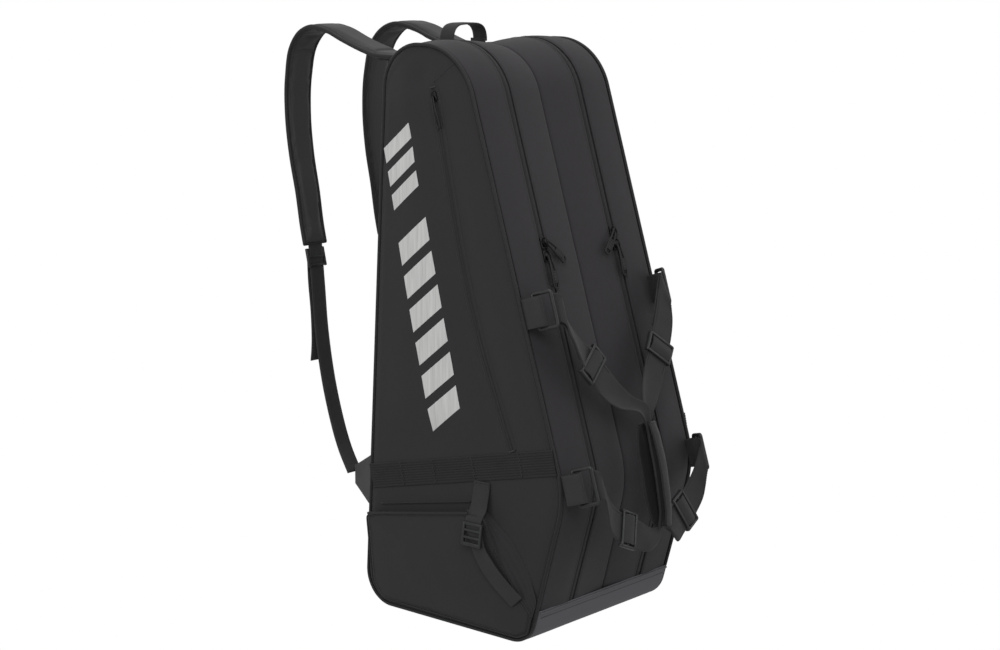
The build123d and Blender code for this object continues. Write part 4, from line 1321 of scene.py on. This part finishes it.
def make_pocket(side, sign, looks):
    outline = rounded_outline(POCKET_OUTLINE, 8)
    base = rounded_outline(POCKET_PANEL, 8)
    middle = Vector((-0.004, 0.078))

    def face_x(z):
        return PANEL_X - 1.2 * MM - (z - 0.008) * POCKET_LEAN

    def face_place(spot, v):
        swell = 6.0 * MM * (1 - v ** 2.2)
        swell += 0.8 * MM * ripple(spot.x, spot.y, 6.0, 0.04)
        return Vector((face_x(spot.y) - swell, spot.x, spot.y))

    sheet = disc(lambda t: outline_at(outline, t), middle, (22, 150), face_place)
    face_outwards(sheet, Vector((0, -0.01, 0.08)))
    count = 150

    def wall_place(u, v):
        front, rear = outline_at(outline, v), outline_at(base, v)
        outer = Vector((face_x(front.y) + 0.3 * MM, front.x, front.y))
        inner = Vector((PANEL_X - 0.3 * MM, rear.x, rear.y))
        p = outer.lerp(inner, u)
        depth = (outer - inner).length
        fold = sin(pi * u) * min(depth * 0.22, 3.4 * MM)
        away = (rear - front)
        away = away.normalized() if away.length > 1 * MM else Vector((0, 0))
        lines = 1.3 * MM * sin(2 * pi * u * 3.5) * min(depth / (18 * MM), 1)
        return p + Vector((-0.4 * lines, *(away * (lines - fold * 0.35))))

    wall = mapped_grid(14, count, wall_place)
    bmesh.ops.remove_doubles(wall, verts=wall.verts[:], dist=0.02 * MM)
    face_outwards(wall, Vector((0.1, -0.01, 0.08)))
    # the mouth runs along the outline's top edge and stays open
    mouth = [f for f in wall.faces if f.calc_center_median().z > 0.116
        and -0.052 < f.calc_center_median().y < 0.134
             and f.calc_center_median().z > 0.150 - (f.calc_center_median().y + 0.047) * 0.198 - 0.018]
    bmesh.ops.delete(wall, geom=mouth, context="FACES")
    lip = []
    for i in range(61):
        t = i / 60
        p = Vector((0.127, 0.128)).lerp(Vector((-0.058, 0.1625)), t)
        lip.append(Vector((face_x(p.y) - 0.4 * MM, p.x, p.y)))
    binding = tube(lip, 1.9 * MM, 10, up=X_AXIS)
    rear_lip = [Vector((PANEL_X - 0.6 * MM, *Vector((0.112, 0.142)).lerp(Vector((-0.050, 0.1735)), i / 40)))
        for i in range(41)]
    bind_line = [Vector((face_x(outline_at(outline, i / 300).y) - 0.2 * MM, *outline_at(outline, i / 300)))
        for i in range(301)]
    rim_cord = tube(bind_line, 1.15 * MM, 8, up=X_AXIS, loop=True)
    seams = bmesh.new()
    inset = [outline_at(outline, i / 500) for i in range(501)]
    near = []
    for p in inset:
        way = (middle - p).normalized()
        q = p + way * 4.5 * MM
        near.append(face_place(q, 0.94) + Vector((-0.3 * MM, 0, 0)))
    stitch_line(seams, near, [-X_AXIS] * len(near), looks)
    binding = joined(binding, tube(rear_lip, 1.3 * MM, 8, up=X_AXIS), rim_cord)
    if sign > 0:
        mirror_all(sheet, wall, binding, seams)
    cloth = finished(side + " pocket front", sheet, ["side_fabric", "lining"], [thick(1.8 * MM, True)])
    bend(cloth, side, sign, "side_fabric", side + "_pocket_front")
    wall = finished(side + " pocket gusset", wall, ["side_fabric", "lining"],
        [thick(0.9 * MM, True), rounded()])
    bend(wall, side, sign, "side_fabric", side + "_pocket_gusset")
    bend(finished(side + " pocket binding", binding, "piping"), side, sign, "piping")
    bend(finished(side + " pocket stitching", seams, "thread"), side, sign, "side_fabric")
    make_pocket_strap(side, sign, face_x)


def make_pocket_strap(side, sign, face_x):
    y = -0.070
    x0 = PANEL_X
    across = Vector((0, 1, 0))
    width = 27 * MM
    upper = [((x0 - 1.4 * MM, y, 0.204), across, width), ((x0 - 2.4 * MM, y, 0.194), across, width),
             ((x0 - 5 * MM, y, 0.182), across, width), ((x0 - 9 * MM, y, 0.168), across, width),
             ((face_x(0.158) - 4.0 * MM, y, 0.154), across, width),
             ((face_x(0.15) - 2.2 * MM, y, 0.147), across, width)]
    tail = [((face_x(0.15) - 5.0 * MM, y, 0.150), across, width * 0.98),
            ((face_x(0.13) - 7.0 * MM, y - 6 * MM, 0.128), Vector((0, 1, 0.15)), width * 0.94),
            ((face_x(0.10) - 8.0 * MM, y - 24 * MM, 0.098), Vector((0, 0.85, -0.45)), width * 0.9),
            ((face_x(0.08) - 6.0 * MM, y - 45 * MM, 0.076), Vector((0, 0.78, -0.6)), width * 0.88),
            ((face_x(0.06) - 3.6 * MM, y - 66 * MM, 0.058), Vector((0, 0.75, -0.66)), width * 0.86)]
    straps = []
    for rows in (upper, tail):
        straps.append(face_outwards(strip(rows, 26), Vector((0, y, 0.12))))
    seams = bmesh.new()
    for i in range(5):
        for k in range(-5, 6):
            spot = Vector((x0 - 2.8 * MM, y + k * 2.3 * MM, 0.202 - i * 2.4 * MM))
            if i in (0, 4) or abs(k) == 5:
                bmesh.ops.create_cube(seams, size=1,
                    matrix=Matrix.Translation(spot) @ Matrix.Diagonal((0.7 * MM, 1.7 * MM, 0.7 * MM, 1)))
    whole = joined(*straps)
    if sign > 0:
        mirror_all(whole, seams)
    bend(finished(side + " pocket strap", whole, "webbing",
        [thick(1.7 * MM, offset=0.0), softened(0.4 * MM)]), side, sign,
         "webbing", side + "_pocket_strap")
    bend(finished(side + " pocket strap stitching", seams, "thread"), side, sign, "webbing")
    node = side + "_pocket_buckle"
    low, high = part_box(node)
    middle = (low + high) / 2
    tilt = radians(8)
    place = basis(Vector((sign * (abs(middle.x) - 2 * MM), middle.y - 9 * MM, middle.z + 3 * MM)), Y_AXIS,
        Vector((-sign * sin(tilt), 0, cos(tilt))))
    bm = bmesh.new()
    wide, tall, deep = 33 * MM, 31 * MM, 4.4 * MM
    for reach in (-1, 1):
        block(bm, place @ Matrix.Translation((reach * (wide / 2 - 2.0 * MM), 0, 0)), (4.0 * MM, tall, deep),
            1.2 * MM, 3)
    for z, size in ((tall / 2 - 2.2 * MM, 4.4 * MM), (tall * 0.16, 3.6 * MM), (-tall * 0.14, 3.6 * MM),
            (-tall / 2 + 2.6 * MM, 5.0 * MM)):
        block(bm, place @ Matrix.Translation((0, z, 0)), (wide - 5 * MM, size, deep * 0.9), 1.1 * MM, 3)
    put(finished(node, bm, "hardware"), node, "hardware", node)


# -------------------------------------------------- handles


def anchor_rows(s):
    """Webbing tab from the seam, out over the bar and back to the fabric."""
    path = [(-133.5, -1.0), (-136.4, 6.0), (-137.0, 14.5), (-134.4, 21.0), (-128.6, 24.2), (-122.8, 22.4),
        (-120.8, 16.5),
            (-122.6, 8.0), (-126.5, -0.5)]
    return [(face(x * MM, s, h * MM), FACE_UP, 38 * MM) for x, h in path]


def handle_rows(sign):
    """Centre, direction of the width and width of the handle's webbing, left side's coordinates."""
    mid = 3 if sign < 0 else -10
    w = 9 if sign < 0 else 10
    deep = -4.5 if sign < 0 else 0
    lean = -0.55 if sign < 0 else 0
    upper = [(-113.5, 235, 31.2), (-108.5, 234, 37.6), (-101, 210, 37.0), (-84, 176, 35.2), (-64, 147, 33.8),
        (-45, 121, 34.0),
             (-26, 100, 38.5), (mid - 4, 84, 41.5 - deep), (mid, 66, 40 - deep), (mid, 36, 39 - deep),
             (mid, 6, 37.5 - deep), (mid, -26, 34 - deep),
             (mid, -56, 30 - deep * 0.6), (mid - 3, -74, 26.5), (-24, -78, 24.0), (-42, -68, 23.2),
             (-62, -57, 23.2), (-82, -44, 24.0), (-94, -30, 29.0),
             (-103, -8, 36.0), (-110, 8, 38.2), (-114, 10, 31.0)]
    ways = [(0, 1), (0.1, 1), (0.5, 0.87), (0.74, 0.67), (0.78, 0.62), (0.82, 0.58), (0.9, 0.42),
        (0.97, 0.2), (1, 0), (1, 0),
            (1, 0), (1, 0), (1, 0), (0.75, 0.66), (0.42, 0.9), (0.42, 0.91), (0.42, 0.91), (0.4, 0.92),
            (0.28, 0.96), (0.1, 1),
            (0, 1), (0, 1)]
    widths = [38, 38, 38, 38, 38, 37, 31, 22, w, w, w, w, w, 22, 32, 38, 38, 38, 38, 38, 38, 38]
    tilts = [0, 0, lean, lean * 0.7] + [0] * (len(upper) - 4)
    return [(face(x * MM, s * MM, h * MM), face_way(a, b, c), width * MM)
            for (x, s, h), (a, b), c, width in zip(upper, ways, tilts, widths)]


def make_handles(looks):
    for side, sign in SIDES:
        anchors = []
        seams = bmesh.new()
        for s in (235 * MM, 10 * MM):
            anchors.append(strip(anchor_rows(s), 40, 8))
            for k in range(-6, 7):
                spot = face(-137.0 * MM, s + k * 2.6 * MM, 5.2 * MM)
                bmesh.ops.create_cube(seams, size=1,
                    matrix=basis(spot, FACE_UP,
                    FACE_OUT) @ Matrix.Diagonal((1.9 * MM, 0.7 * MM, 0.7 * MM, 1)))
        whole = joined(*anchors)
        if sign > 0:
            mirror_all(whole, seams)
        tabs = finished(side + " handle anchors", whole, "webbing",
            [thick(1.7 * MM, offset=0.0), softened(0.4 * MM)])
        put(tabs, side + "_side", "webbing", side + "_handle_anchors")
        put(finished(side + " anchor stitching", seams, "thread"), side + "_side", "webbing")
        rows = handle_rows(sign)
        ribbon = strip(rows, 150, 14, cloth_width=38 * MM)
        under = []
        for centre, across, width in rows[1:4]:
            under.append((centre - FACE_OUT * 3.2 * MM - face_way(-1.0 * MM, 0, 0), across, width * 0.99))
        first = [(face(-113.5 * MM, 235 * MM, 31.2 * MM), FACE_UP, 37.6 * MM),
            (face(-110 * MM, 233 * MM, 32.2 * MM), FACE_UP, 37.6 * MM)]
        lower = strip(first + under[1:], 24, 8)
        seams = bmesh.new()
        made = stations_of(rows, 150)
        for spans in ((6, 34), (118, 144)):
            for reach in (-1, 1):
                points = [m[0] + m[1] * reach * (m[2] / 2 - 3 * MM) + FACE_OUT * 1.5 * MM
                    for m in made[spans[0]:spans[1]]]
                stitch_line(seams, points, [FACE_OUT] * len(points), looks)
        if sign > 0:
            mirror_all(ribbon, lower, seams)
        webbing = finished(side + " handle webbing", joined(ribbon, lower), "webbing",
            [thick(2.4 * MM, offset=0.0), rounded()])
        put(webbing, side + "_handle", "webbing", side + "_handle_webbing")
        put(finished(side + " handle stitching", seams, "thread"), side + "_handle", "webbing")
        make_glide(side, sign, "upper", (-70, 156, 34.6), (25, -33, -1))
        make_glide(side, sign, "lower", (-60, -57.4, 23.2), (-24, 11, 0))
    make_wrap()


def make_glide(side, sign, which, centre, along):
    """Tri-glide: rounded frame, centre bar and the webbing arched over it."""
    node = "{}_{}_glide".format(side, which)
    at = face(*(c * MM for c in centre))
    way = face_way(*along).normalized()
    across = FACE_OUT.cross(way).normalized()
    place = basis(at, across, way)
    if (place.to_3x3() @ Z_AXIS).dot(FACE_OUT) < 0:
        place = basis(at, -across, way)
    wide, long = 49 * MM, 28 * MM
    bm = bmesh.new()
    for reach in (-1, 1):
        block(bm, place @ Matrix.Translation((reach * (wide / 2 - 2.3 * MM), 0, 0.8 * MM)),
            (4.4 * MM, long, 6.6 * MM), 1.6 * MM, 3)
        block(bm, place @ Matrix.Translation((0, reach * (long / 2 - 1.9 * MM), 3.3 * MM)),
            (wide - 4 * MM, 3.6 * MM, 3.4 * MM), 1.3 * MM, 3)
    bar = bmesh.new()
    block(bar, place @ Matrix.Translation((0, 0, 1.9 * MM)), (wide - 5 * MM, 4.4 * MM, 2.4 * MM), 0.9 * MM, 3)
    rows = []
    for i in range(9):
        t = i / 8 * 2 - 1
        rows.append((place @ Vector((0, t * 10.4 * MM, (2.2 + 3.2 * cos(pi / 2 * t)) * MM)),
            place.to_3x3() @ X_AXIS, 37 * MM))
    patch = strip(rows, 20, 6)
    frame_part = joined(bm, bar)
    if sign > 0:
        mirror_all(frame_part, patch)
    put(finished(node, frame_part, "hardware"), node, "hardware", node)
    put(finished(node + " webbing", patch, "webbing", [thick(1.6 * MM, offset=0.0), softened(0.4 * MM)]),
        node, "webbing")


WRAP_SECTION = [(-10, -13), (-5, -12.5), (1, -11.6), (7, -10.2), (12, -8), (16, -4.4), (17.4, -0.4),
    (16.8, 4.2), (13.2, 8.2),
                (8.6, 10.4), (4, 11.4), (-1.5, 11.6)]
WRAP_STATIONS = [(66, 39, 2), (36, 39.5, -7), (2, 38, -9), (-32, 34, -7), (-66, 28.5, 3)]


def make_wrap():
    """Padded grip wrap round both webbings on the wearer's right handle, open towards the left."""
    numbers = [np.array([s, h, left], float) for s, h, left in WRAP_STATIONS]
    points = [np.array([*p, 0.0]) for p in WRAP_SECTION]

    def place(u, v):
        s, h, left = smooth_at(numbers, v)
        x, d, _ = smooth_at(points, u)
        if x < 6 and d < 0:
            x = 6 + (x - 6) * (6 - left) / 16.0
        squeeze = 1 - 0.10 * smooth((abs(2 * v - 1) - 0.72) / 0.28)
        puff = 1.1 * MM * sin(pi * v) * (1 if d > -12 else 0.4)
        spot = face(x * squeeze * MM, s * MM, (h + d * squeeze) * MM)
        return spot + FACE_OUT * 0.6 * MM * ripple(u, v, 8.0,
            0.25) + (X_AXIS * puff if x > 14 else FACE_OUT * puff * (1 if d > 0 else -1))

    sheet = mapped_grid(44, 46, place, lambda u, v: (u * 0.07, v * 0.13), face(8 * MM, 10 * MM, 38 * MM))
    wrap_piece = finished("grip wrap", sheet, ["wrap_fabric", "piping"],
        [thick(3.0 * MM, True, offset=0.0), rounded()])
    put(wrap_piece, "right_handle", "wrap_fabric", "grip_wrap")
    edges = []
    for u in (0.0, 1.0):
        edges.append(tube([place(u, i / 50) for i in range(51)], 1.9 * MM, 8, up=FACE_OUT))
    for v in (0.0, 1.0):
        edges.append(tube([place(i / 50, v) for i in range(51)], 1.9 * MM, 8, up=FACE_UP))
    put(finished("grip wrap binding", joined(*edges), "wrap_fabric", [rounded()]), "right_handle",
        "wrap_fabric")


# -------------------------------------------------- shoulder straps, haul loop and the divider


PAD_LINE = [(108, 738.5), (130, 738.8), (150, 740.5), (168, 745), (205, 757), (245, 771), (270, 774),
    (294, 766), (313, 747),
            (326, 705), (330, 650), (325, 594), (315, 543), (307, 494), (302, 472)]
WEB_LINE = [(-74, 303, 492), (-74, 301.6, 470.5), (-74.5, 296, 410), (-75, 290, 348), (-83, 262, 253),
    (-95, 226, 192),
            (-107, 196, 166)]


def make_shoulders(looks):
    for side, sign in SIDES:
        line = [np.array([y, z, 0.0]) for y, z in PAD_LINE]

        def station(v):
            row = smooth_at(line, v)
            ahead, behind = smooth_at(line, min(v + 0.01, 1)), smooth_at(line, max(v - 0.01, 0))
            way = Vector((0, ahead[0] - behind[0], ahead[1] - behind[1])).normalized()
            x = -84 + 10 * smooth((v - 0.2) / 0.7)
            width = 52 - 10 * smooth((v - 0.35) / 0.6)
            return Vector((x, row[0], row[1])) * MM, way, width * MM

        half_thick = 4.2 * MM

        def place(u, v):
            p, way, width = station(v)
            outward = X_AXIS.cross(way)
            turn = 2 * pi * u
            flat = cos(turn)
            across = flat / abs(flat) * abs(flat) ** 0.55 if abs(flat) > 1e-6 else 0.0
            rise = sin(turn)
            depth = half_thick * (0.5 if v < 0.16 else 1.0) * (1 - 0.55 * smooth((abs(across) - 0.8) / 0.2))
            return p + X_AXIS * across * width / 2 + outward * rise * depth

        pad = closed(mapped_grid(28, 130, place, lambda u, v: (u * 0.1, v * 0.55)))
        bmesh.ops.holes_fill(pad, edges=[e for e in pad.edges if e.is_boundary], sides=60)
        bmesh.ops.recalc_face_normals(pad, faces=pad.faces[:])
        edges = []
        for reach in (-1, 1):
            bound = []
            for i in range(161):
                p, way, width = station(i / 160)
                bound.append(p + X_AXIS * reach * (width / 2 - 1.8 * MM))
            edges.append(tube(bound, 3.0 * MM, 8, up=X_AXIS))
        p, way, width = station(1.0)
        end = [p + X_AXIS * (i / 20 - 0.5) * width for i in range(21)]
        edges.append(tube(end, 2.3 * MM, 8, up=way))
        web_rows = [((x * MM, y * MM, z * MM), X_AXIS, 25 * MM) for x, y, z in WEB_LINE]
        upper_web = strip(web_rows, 60)
        tail_rows = [((-74 * MM, 305 * MM, 462 * MM), X_AXIS, 25 * MM),
            ((-74 * MM, 303.5 * MM, 420 * MM), X_AXIS, 25 * MM),
                     ((-75 * MM, 298 * MM, 372 * MM), X_AXIS, 25 * MM),
                     ((-76 * MM, 297 * MM, 322 * MM), X_AXIS, 25 * MM),
                     ((-77 * MM, 298 * MM, 306 * MM), X_AXIS, 25 * MM)]
        tail = strip(tail_rows, 30)
        low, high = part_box(side + "_strap_adjuster")
        middle = (low + high) / 2
        at = Vector((-abs(middle.x), middle.y, middle.z))
        p, way, _ = station(1.0)
        place_at = basis(at, X_AXIS, way)
        buckle = bmesh.new()
        for reach in (-1, 1):
            block(buckle, place_at @ Matrix.Translation((reach * 15.2 * MM, 0, 0)),
                (3.6 * MM, 27 * MM, 4.4 * MM), 1.2 * MM, 3)
        for reach in (-11.6, -0.5, 11.0):
            block(buckle, place_at @ Matrix.Translation((0, reach * MM, 0)), (28 * MM, 3.4 * MM, 3.6 * MM),
                1.1 * MM, 3)
        parts = [pad, upper_web, tail, buckle] + edges
        if sign > 0:
            for part in parts:
                mirrored(part)
        body = side + "_shoulder_strap"
        soft = finished(side + " shoulder pad", pad, "pad_fabric")
        put(soft, body, "pad_fabric", side + "_shoulder_pad")
        inflated(soft, 3.0, 2.5 * MM, 3.0 * MM)
        seams = bmesh.new()
        for reach in (-1, 1):
            for face_side in (-1, 1):
                sewn, ways = [], []
                for i in range(16, 318):
                    p, way, width = station(i / 320)
                    p += X_AXIS * reach * (width / 2 - 6.0 * MM) + X_AXIS.cross(way) * face_side * half_thick
                    p.x *= -sign
                    _, spot, normal, _ = soft.closest_point_on_mesh(p)
                    sewn.append(spot + normal * 0.1 * MM)
                    ways.append(normal.copy())
                stitch_line(seams, sewn, ways, looks)
        put(finished(side + " pad binding", joined(*edges), "piping"), body, "pad_fabric")
        put(finished(side + " pad stitching", seams, "thread"), body, "pad_fabric")
        webs = finished(side + " strap webbing", joined(upper_web, tail), "webbing",
            [thick(1.7 * MM, offset=0.0)])
        put(webs, body, "webbing", side + "_strap_webbing")
        put(finished(side + " strap adjuster", buckle, "hardware"), body, "hardware",
            side + "_strap_adjuster")
    make_tabs()


def make_tabs():
    """Strap tabs on the crown, wings by the base and the haul loop with its tabs."""
    tabs, wings = [], []
    for _, sign in SIDES:
        rows = [((-84 * MM, 86 * MM, 733.6 * MM), X_AXIS, 40 * MM),
            ((-84 * MM, 104 * MM, 734.3 * MM), X_AXIS, 40 * MM),
                ((-84 * MM, 126 * MM, 734.3 * MM), X_AXIS, 40 * MM),
                ((-84 * MM, 145 * MM, 734.3 * MM), X_AXIS, 40 * MM)]
        tab = strip(rows, 16)
        a, b, c = Vector((-130, 134.5, 206)) * MM, Vector((-130, 139, 130)) * MM, Vector((-108, 192,
            163)) * MM

        def place(u, v, a=a, b=b, c=c):
            root = a.lerp(b, u)
            tip = c + Vector((0, 0, (0.5 - u) * 26 * MM))
            return root.lerp(tip, v) + X_AXIS * 1.2 * MM * sin(pi * v) * sin(pi * u)

        wing = mapped_grid(12, 14, place, lambda u, v: (u * 0.075, v * 0.06))
        if sign > 0:
            mirror_all(tab, wing)
        tabs.append(tab)
        wings.append(wing)
    put(finished("strap tabs", joined(*tabs), "webbing", [thick(2.6 * MM, offset=0.0), softened(0.6 * MM)]),
        "core", "webbing", "strap_tabs")
    put(finished("strap wings", joined(*wings), "pad_fabric",
        [thick(3.0 * MM, offset=0.0), softened(0.7 * MM)]), "core", "pad_fabric",
        "strap_wings")
    low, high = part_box("haul_loop")
    foot = low.z
    rows = []
    for i in range(25):
        turn = pi * i / 24
        c = cos(turn)
        x = -33 * MM * (1 if c > 0 else -1) * sqrt(abs(c))
        z = foot + (high.z - foot - 1.5 * MM) * sin(turn) ** 0.8
        rows.append(((x, (low.y + high.y) / 2, z), Y_AXIS, 25 * MM))
    loop = face_outwards(strip(rows, 80, 6), Vector((0, 0.086, 0.74)))
    put(finished("haul loop", loop, "webbing", [thick(2.6 * MM, offset=0.0), rounded()]), "haul_loop",
        "webbing", "haul_loop")
    tlow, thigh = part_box("haul_tabs")
    tabs = bmesh.new()
    for sign in (-1, 1):
        block(tabs, Matrix.Translation((sign * 28.8 * MM, (tlow.y + thigh.y) / 2, (tlow.z + thigh.z) / 2)),
              (3.0 * MM, 25 * MM, thigh.z - tlow.z), 0.7 * MM)
    put(finished("haul tabs", tabs, "webbing"), "core", "webbing", "haul_tabs")


def make_divider():
    low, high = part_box("centre_divider")
    thickness = 5 * MM

    def ring(t):
        p = rim_inset(t * RIM_LENGTH, 13 * MM)
        return Vector((min(p.x, high.y - 1 * MM), min(max(p.y, low.z + 1 * MM), high.z)))

    def place(spot, v):
        return Vector((-thickness / 2 - 1.2 * MM * (1 - v ** 3), spot.x, spot.y))

    sheets = []
    for sign in (-1, 1):
        sheet = disc(ring, Vector((-0.01, 0.36)), (14, 120), place)
        face_outwards(sheet, Vector((0.5, 0, 0.36)))
        sheets.append(sheet if sign < 0 else mirrored(sheet))
    edge = tube([Vector((0, *ring(i / 200))) for i in range(201)], thickness / 2 + 0.3 * MM, 8, up=X_AXIS,
        loop=True)
    divider = finished("centre divider", joined(*sheets, edge), "lining")
    put(divider, "core", "lining", "centre_divider")


def cad_materials():
    """Real materials on the two kinds of piece that keep their packed mesh."""
    for name, material in (("base_board", "board"), ("left_handle_rings", "hardware"),
            ("right_handle_rings", "hardware")):
        obj = frame["nodes"][name]
        for child in [obj] + list(obj.children_recursive):
            if child.type == "MESH":
                child.data.materials.clear()
                child.data.materials.append(MATERIALS[material])


# -------------------------------------------------- studio


def make_stage():
    scene = bpy.context.scene
    world = bpy.data.worlds.new("studio")
    scene.world = world
    world.use_nodes = True
    tree = world.node_tree
    tree.nodes.clear()
    out = tree.nodes.new("ShaderNodeOutputWorld")
    mix = tree.nodes.new("ShaderNodeMixShader")
    light, white = tree.nodes.new("ShaderNodeBackground"), tree.nodes.new("ShaderNodeBackground")
    rays = tree.nodes.new("ShaderNodeLightPath")
    light.inputs["Color"].default_value = (1, 1, 1, 1)
    light.inputs["Strength"].default_value = 0.32
    white.inputs["Color"].default_value = (1, 1, 1, 1)
    white.inputs["Strength"].default_value = 1.0
    tree.links.new(rays.outputs["Is Camera Ray"], mix.inputs["Fac"])
    tree.links.new(light.outputs[0], mix.inputs[1])
    tree.links.new(white.outputs[0], mix.inputs[2])
    tree.links.new(mix.outputs[0], out.inputs["Surface"])
    for name, spot, aim, energy, size in (
        ("key", (-2.0, -1.9, 2.4), (0, -0.1, 0.45), 26, 1.6),
        ("fill", (1.6, -2.4, 1.2), (0, -0.1, 0.40), 9, 1.8),
        ("top", (0.1, 0.3, 2.8), (0, 0, 0.5), 12, 1.5),
        ("side", (-2.6, 0.6, 1.2), (-0.1, 0, 0.35), 9, 1.2),
    ):
        data = bpy.data.lights.new(name, "AREA")
        data.energy = energy
        data.size = size
        obj = bpy.data.objects.new(name, data)
        scene.collection.objects.link(obj)
        obj.location = spot
        obj.rotation_euler = (Vector(spot) - Vector(aim)).to_track_quat("Z", "Y").to_euler()
    camera_data = bpy.data.cameras.new("camera")
    camera_data.lens = 73.054
    camera_data.sensor_width = 36
    camera = bpy.data.objects.new("camera", camera_data)
    scene.collection.objects.link(camera)
    camera.location = (-2.0266, -1.7533, 0.8732)
    a, e = radians(-48.790), radians(10.410)
    back = Vector((sin(a) * cos(e), -cos(a) * cos(e), sin(e)))
    camera.rotation_euler = (-back).to_track_quat("-Z", "Y").to_euler()
    scene.camera = camera
    scene.view_settings.view_transform = "Standard"


# -------------------------------------------------- operators and panel


def operator(idname, label, text, work):
    """Operator class that runs one group of pieces."""

    def execute(self, context):
        work(context.scene)
        return {"FINISHED"}

    name = "BAG_OT_" + idname
    return type(name, (bpy.types.Operator,), {
        "__doc__": text, "bl_idname": "bag." + idname, "bl_label": label, "bl_options": {"REGISTER", "UNDO"},
        "execute": execute,
    })


STEPS = (
    ("materials", "Materials", "Makes the bag's fabrics, webbings, zips and hardware",
    lambda s: make_materials(s.bag_tones)),
    ("shells", "Gussets", "Makes the front and crown gussets with their seams",
    lambda s: make_shells(s.bag_looks)),
    ("boot", "Boot", "Makes the coated base with its bound edge", lambda s: make_boot(s.bag_looks)),
    ("back", "Back", "Makes the padded mesh back", lambda s: make_back(s.bag_looks)),
    ("zips", "Zips", "Makes the main and side zips", lambda s: make_zips(s.bag_looks)),
    ("sliders", "Sliders", "Makes the sliders and their pulls", lambda s: make_sliders()),
    ("sides", "Sides", "Makes the side panels, piping, band, print and pockets",
    lambda s: make_side_panels(s.bag_looks)),
    ("handles", "Handles", "Makes the handles, glides and grip wrap", lambda s: make_handles(s.bag_looks)),
    ("shoulders", "Straps", "Makes the shoulder straps, tabs and haul loop",
    lambda s: make_shoulders(s.bag_looks)),
    ("divider", "Divider", "Makes the padded divider", lambda s: make_divider()),
    ("hard_parts", "Hard parts", "Gives the packed hard parts their materials", lambda s: cad_materials()),
    ("studio", "Studio", "Sets the lights, the camera and the white surroundings", lambda s: make_stage()),
)
OPERATORS = [operator(*step) for step in STEPS]


class BAG_PT_panel(bpy.types.Panel):
    """Sidebar panel with the bag's steps and settings"""

    bl_idname = "BAG_PT_panel"
    bl_label = "Racket Bag"
    bl_space_type = "VIEW_3D"
    bl_region_type = "UI"
    bl_category = "Bag"

    def draw(self, context):
        scene = context.scene
        for group in (scene.bag_looks, scene.bag_tones):
            column = self.layout.column(align=True)
            for key in group.bl_rna.properties.keys():
                if key not in ("rna_type", "name"):
                    column.prop(group, key)
        for step in OPERATORS:
            self.layout.operator(step.bl_idname)


CLASSES = [BagLooks, BagTones] + OPERATORS + [BAG_PT_panel]


def register():
    for cls in CLASSES:
        bpy.utils.register_class(cls)
    bpy.types.Scene.bag_looks = PointerProperty(type=BagLooks)
    bpy.types.Scene.bag_tones = PointerProperty(type=BagTones)


def unregister():
    del bpy.types.Scene.bag_looks
    del bpy.types.Scene.bag_tones
    for cls in reversed(CLASSES):
        bpy.utils.unregister_class(cls)


def main():
    register()
    for step in OPERATORS:
        getattr(bpy.ops.bag, step.bl_idname.split(".")[1])()
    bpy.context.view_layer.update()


if __name__ == "__main__":
    main()
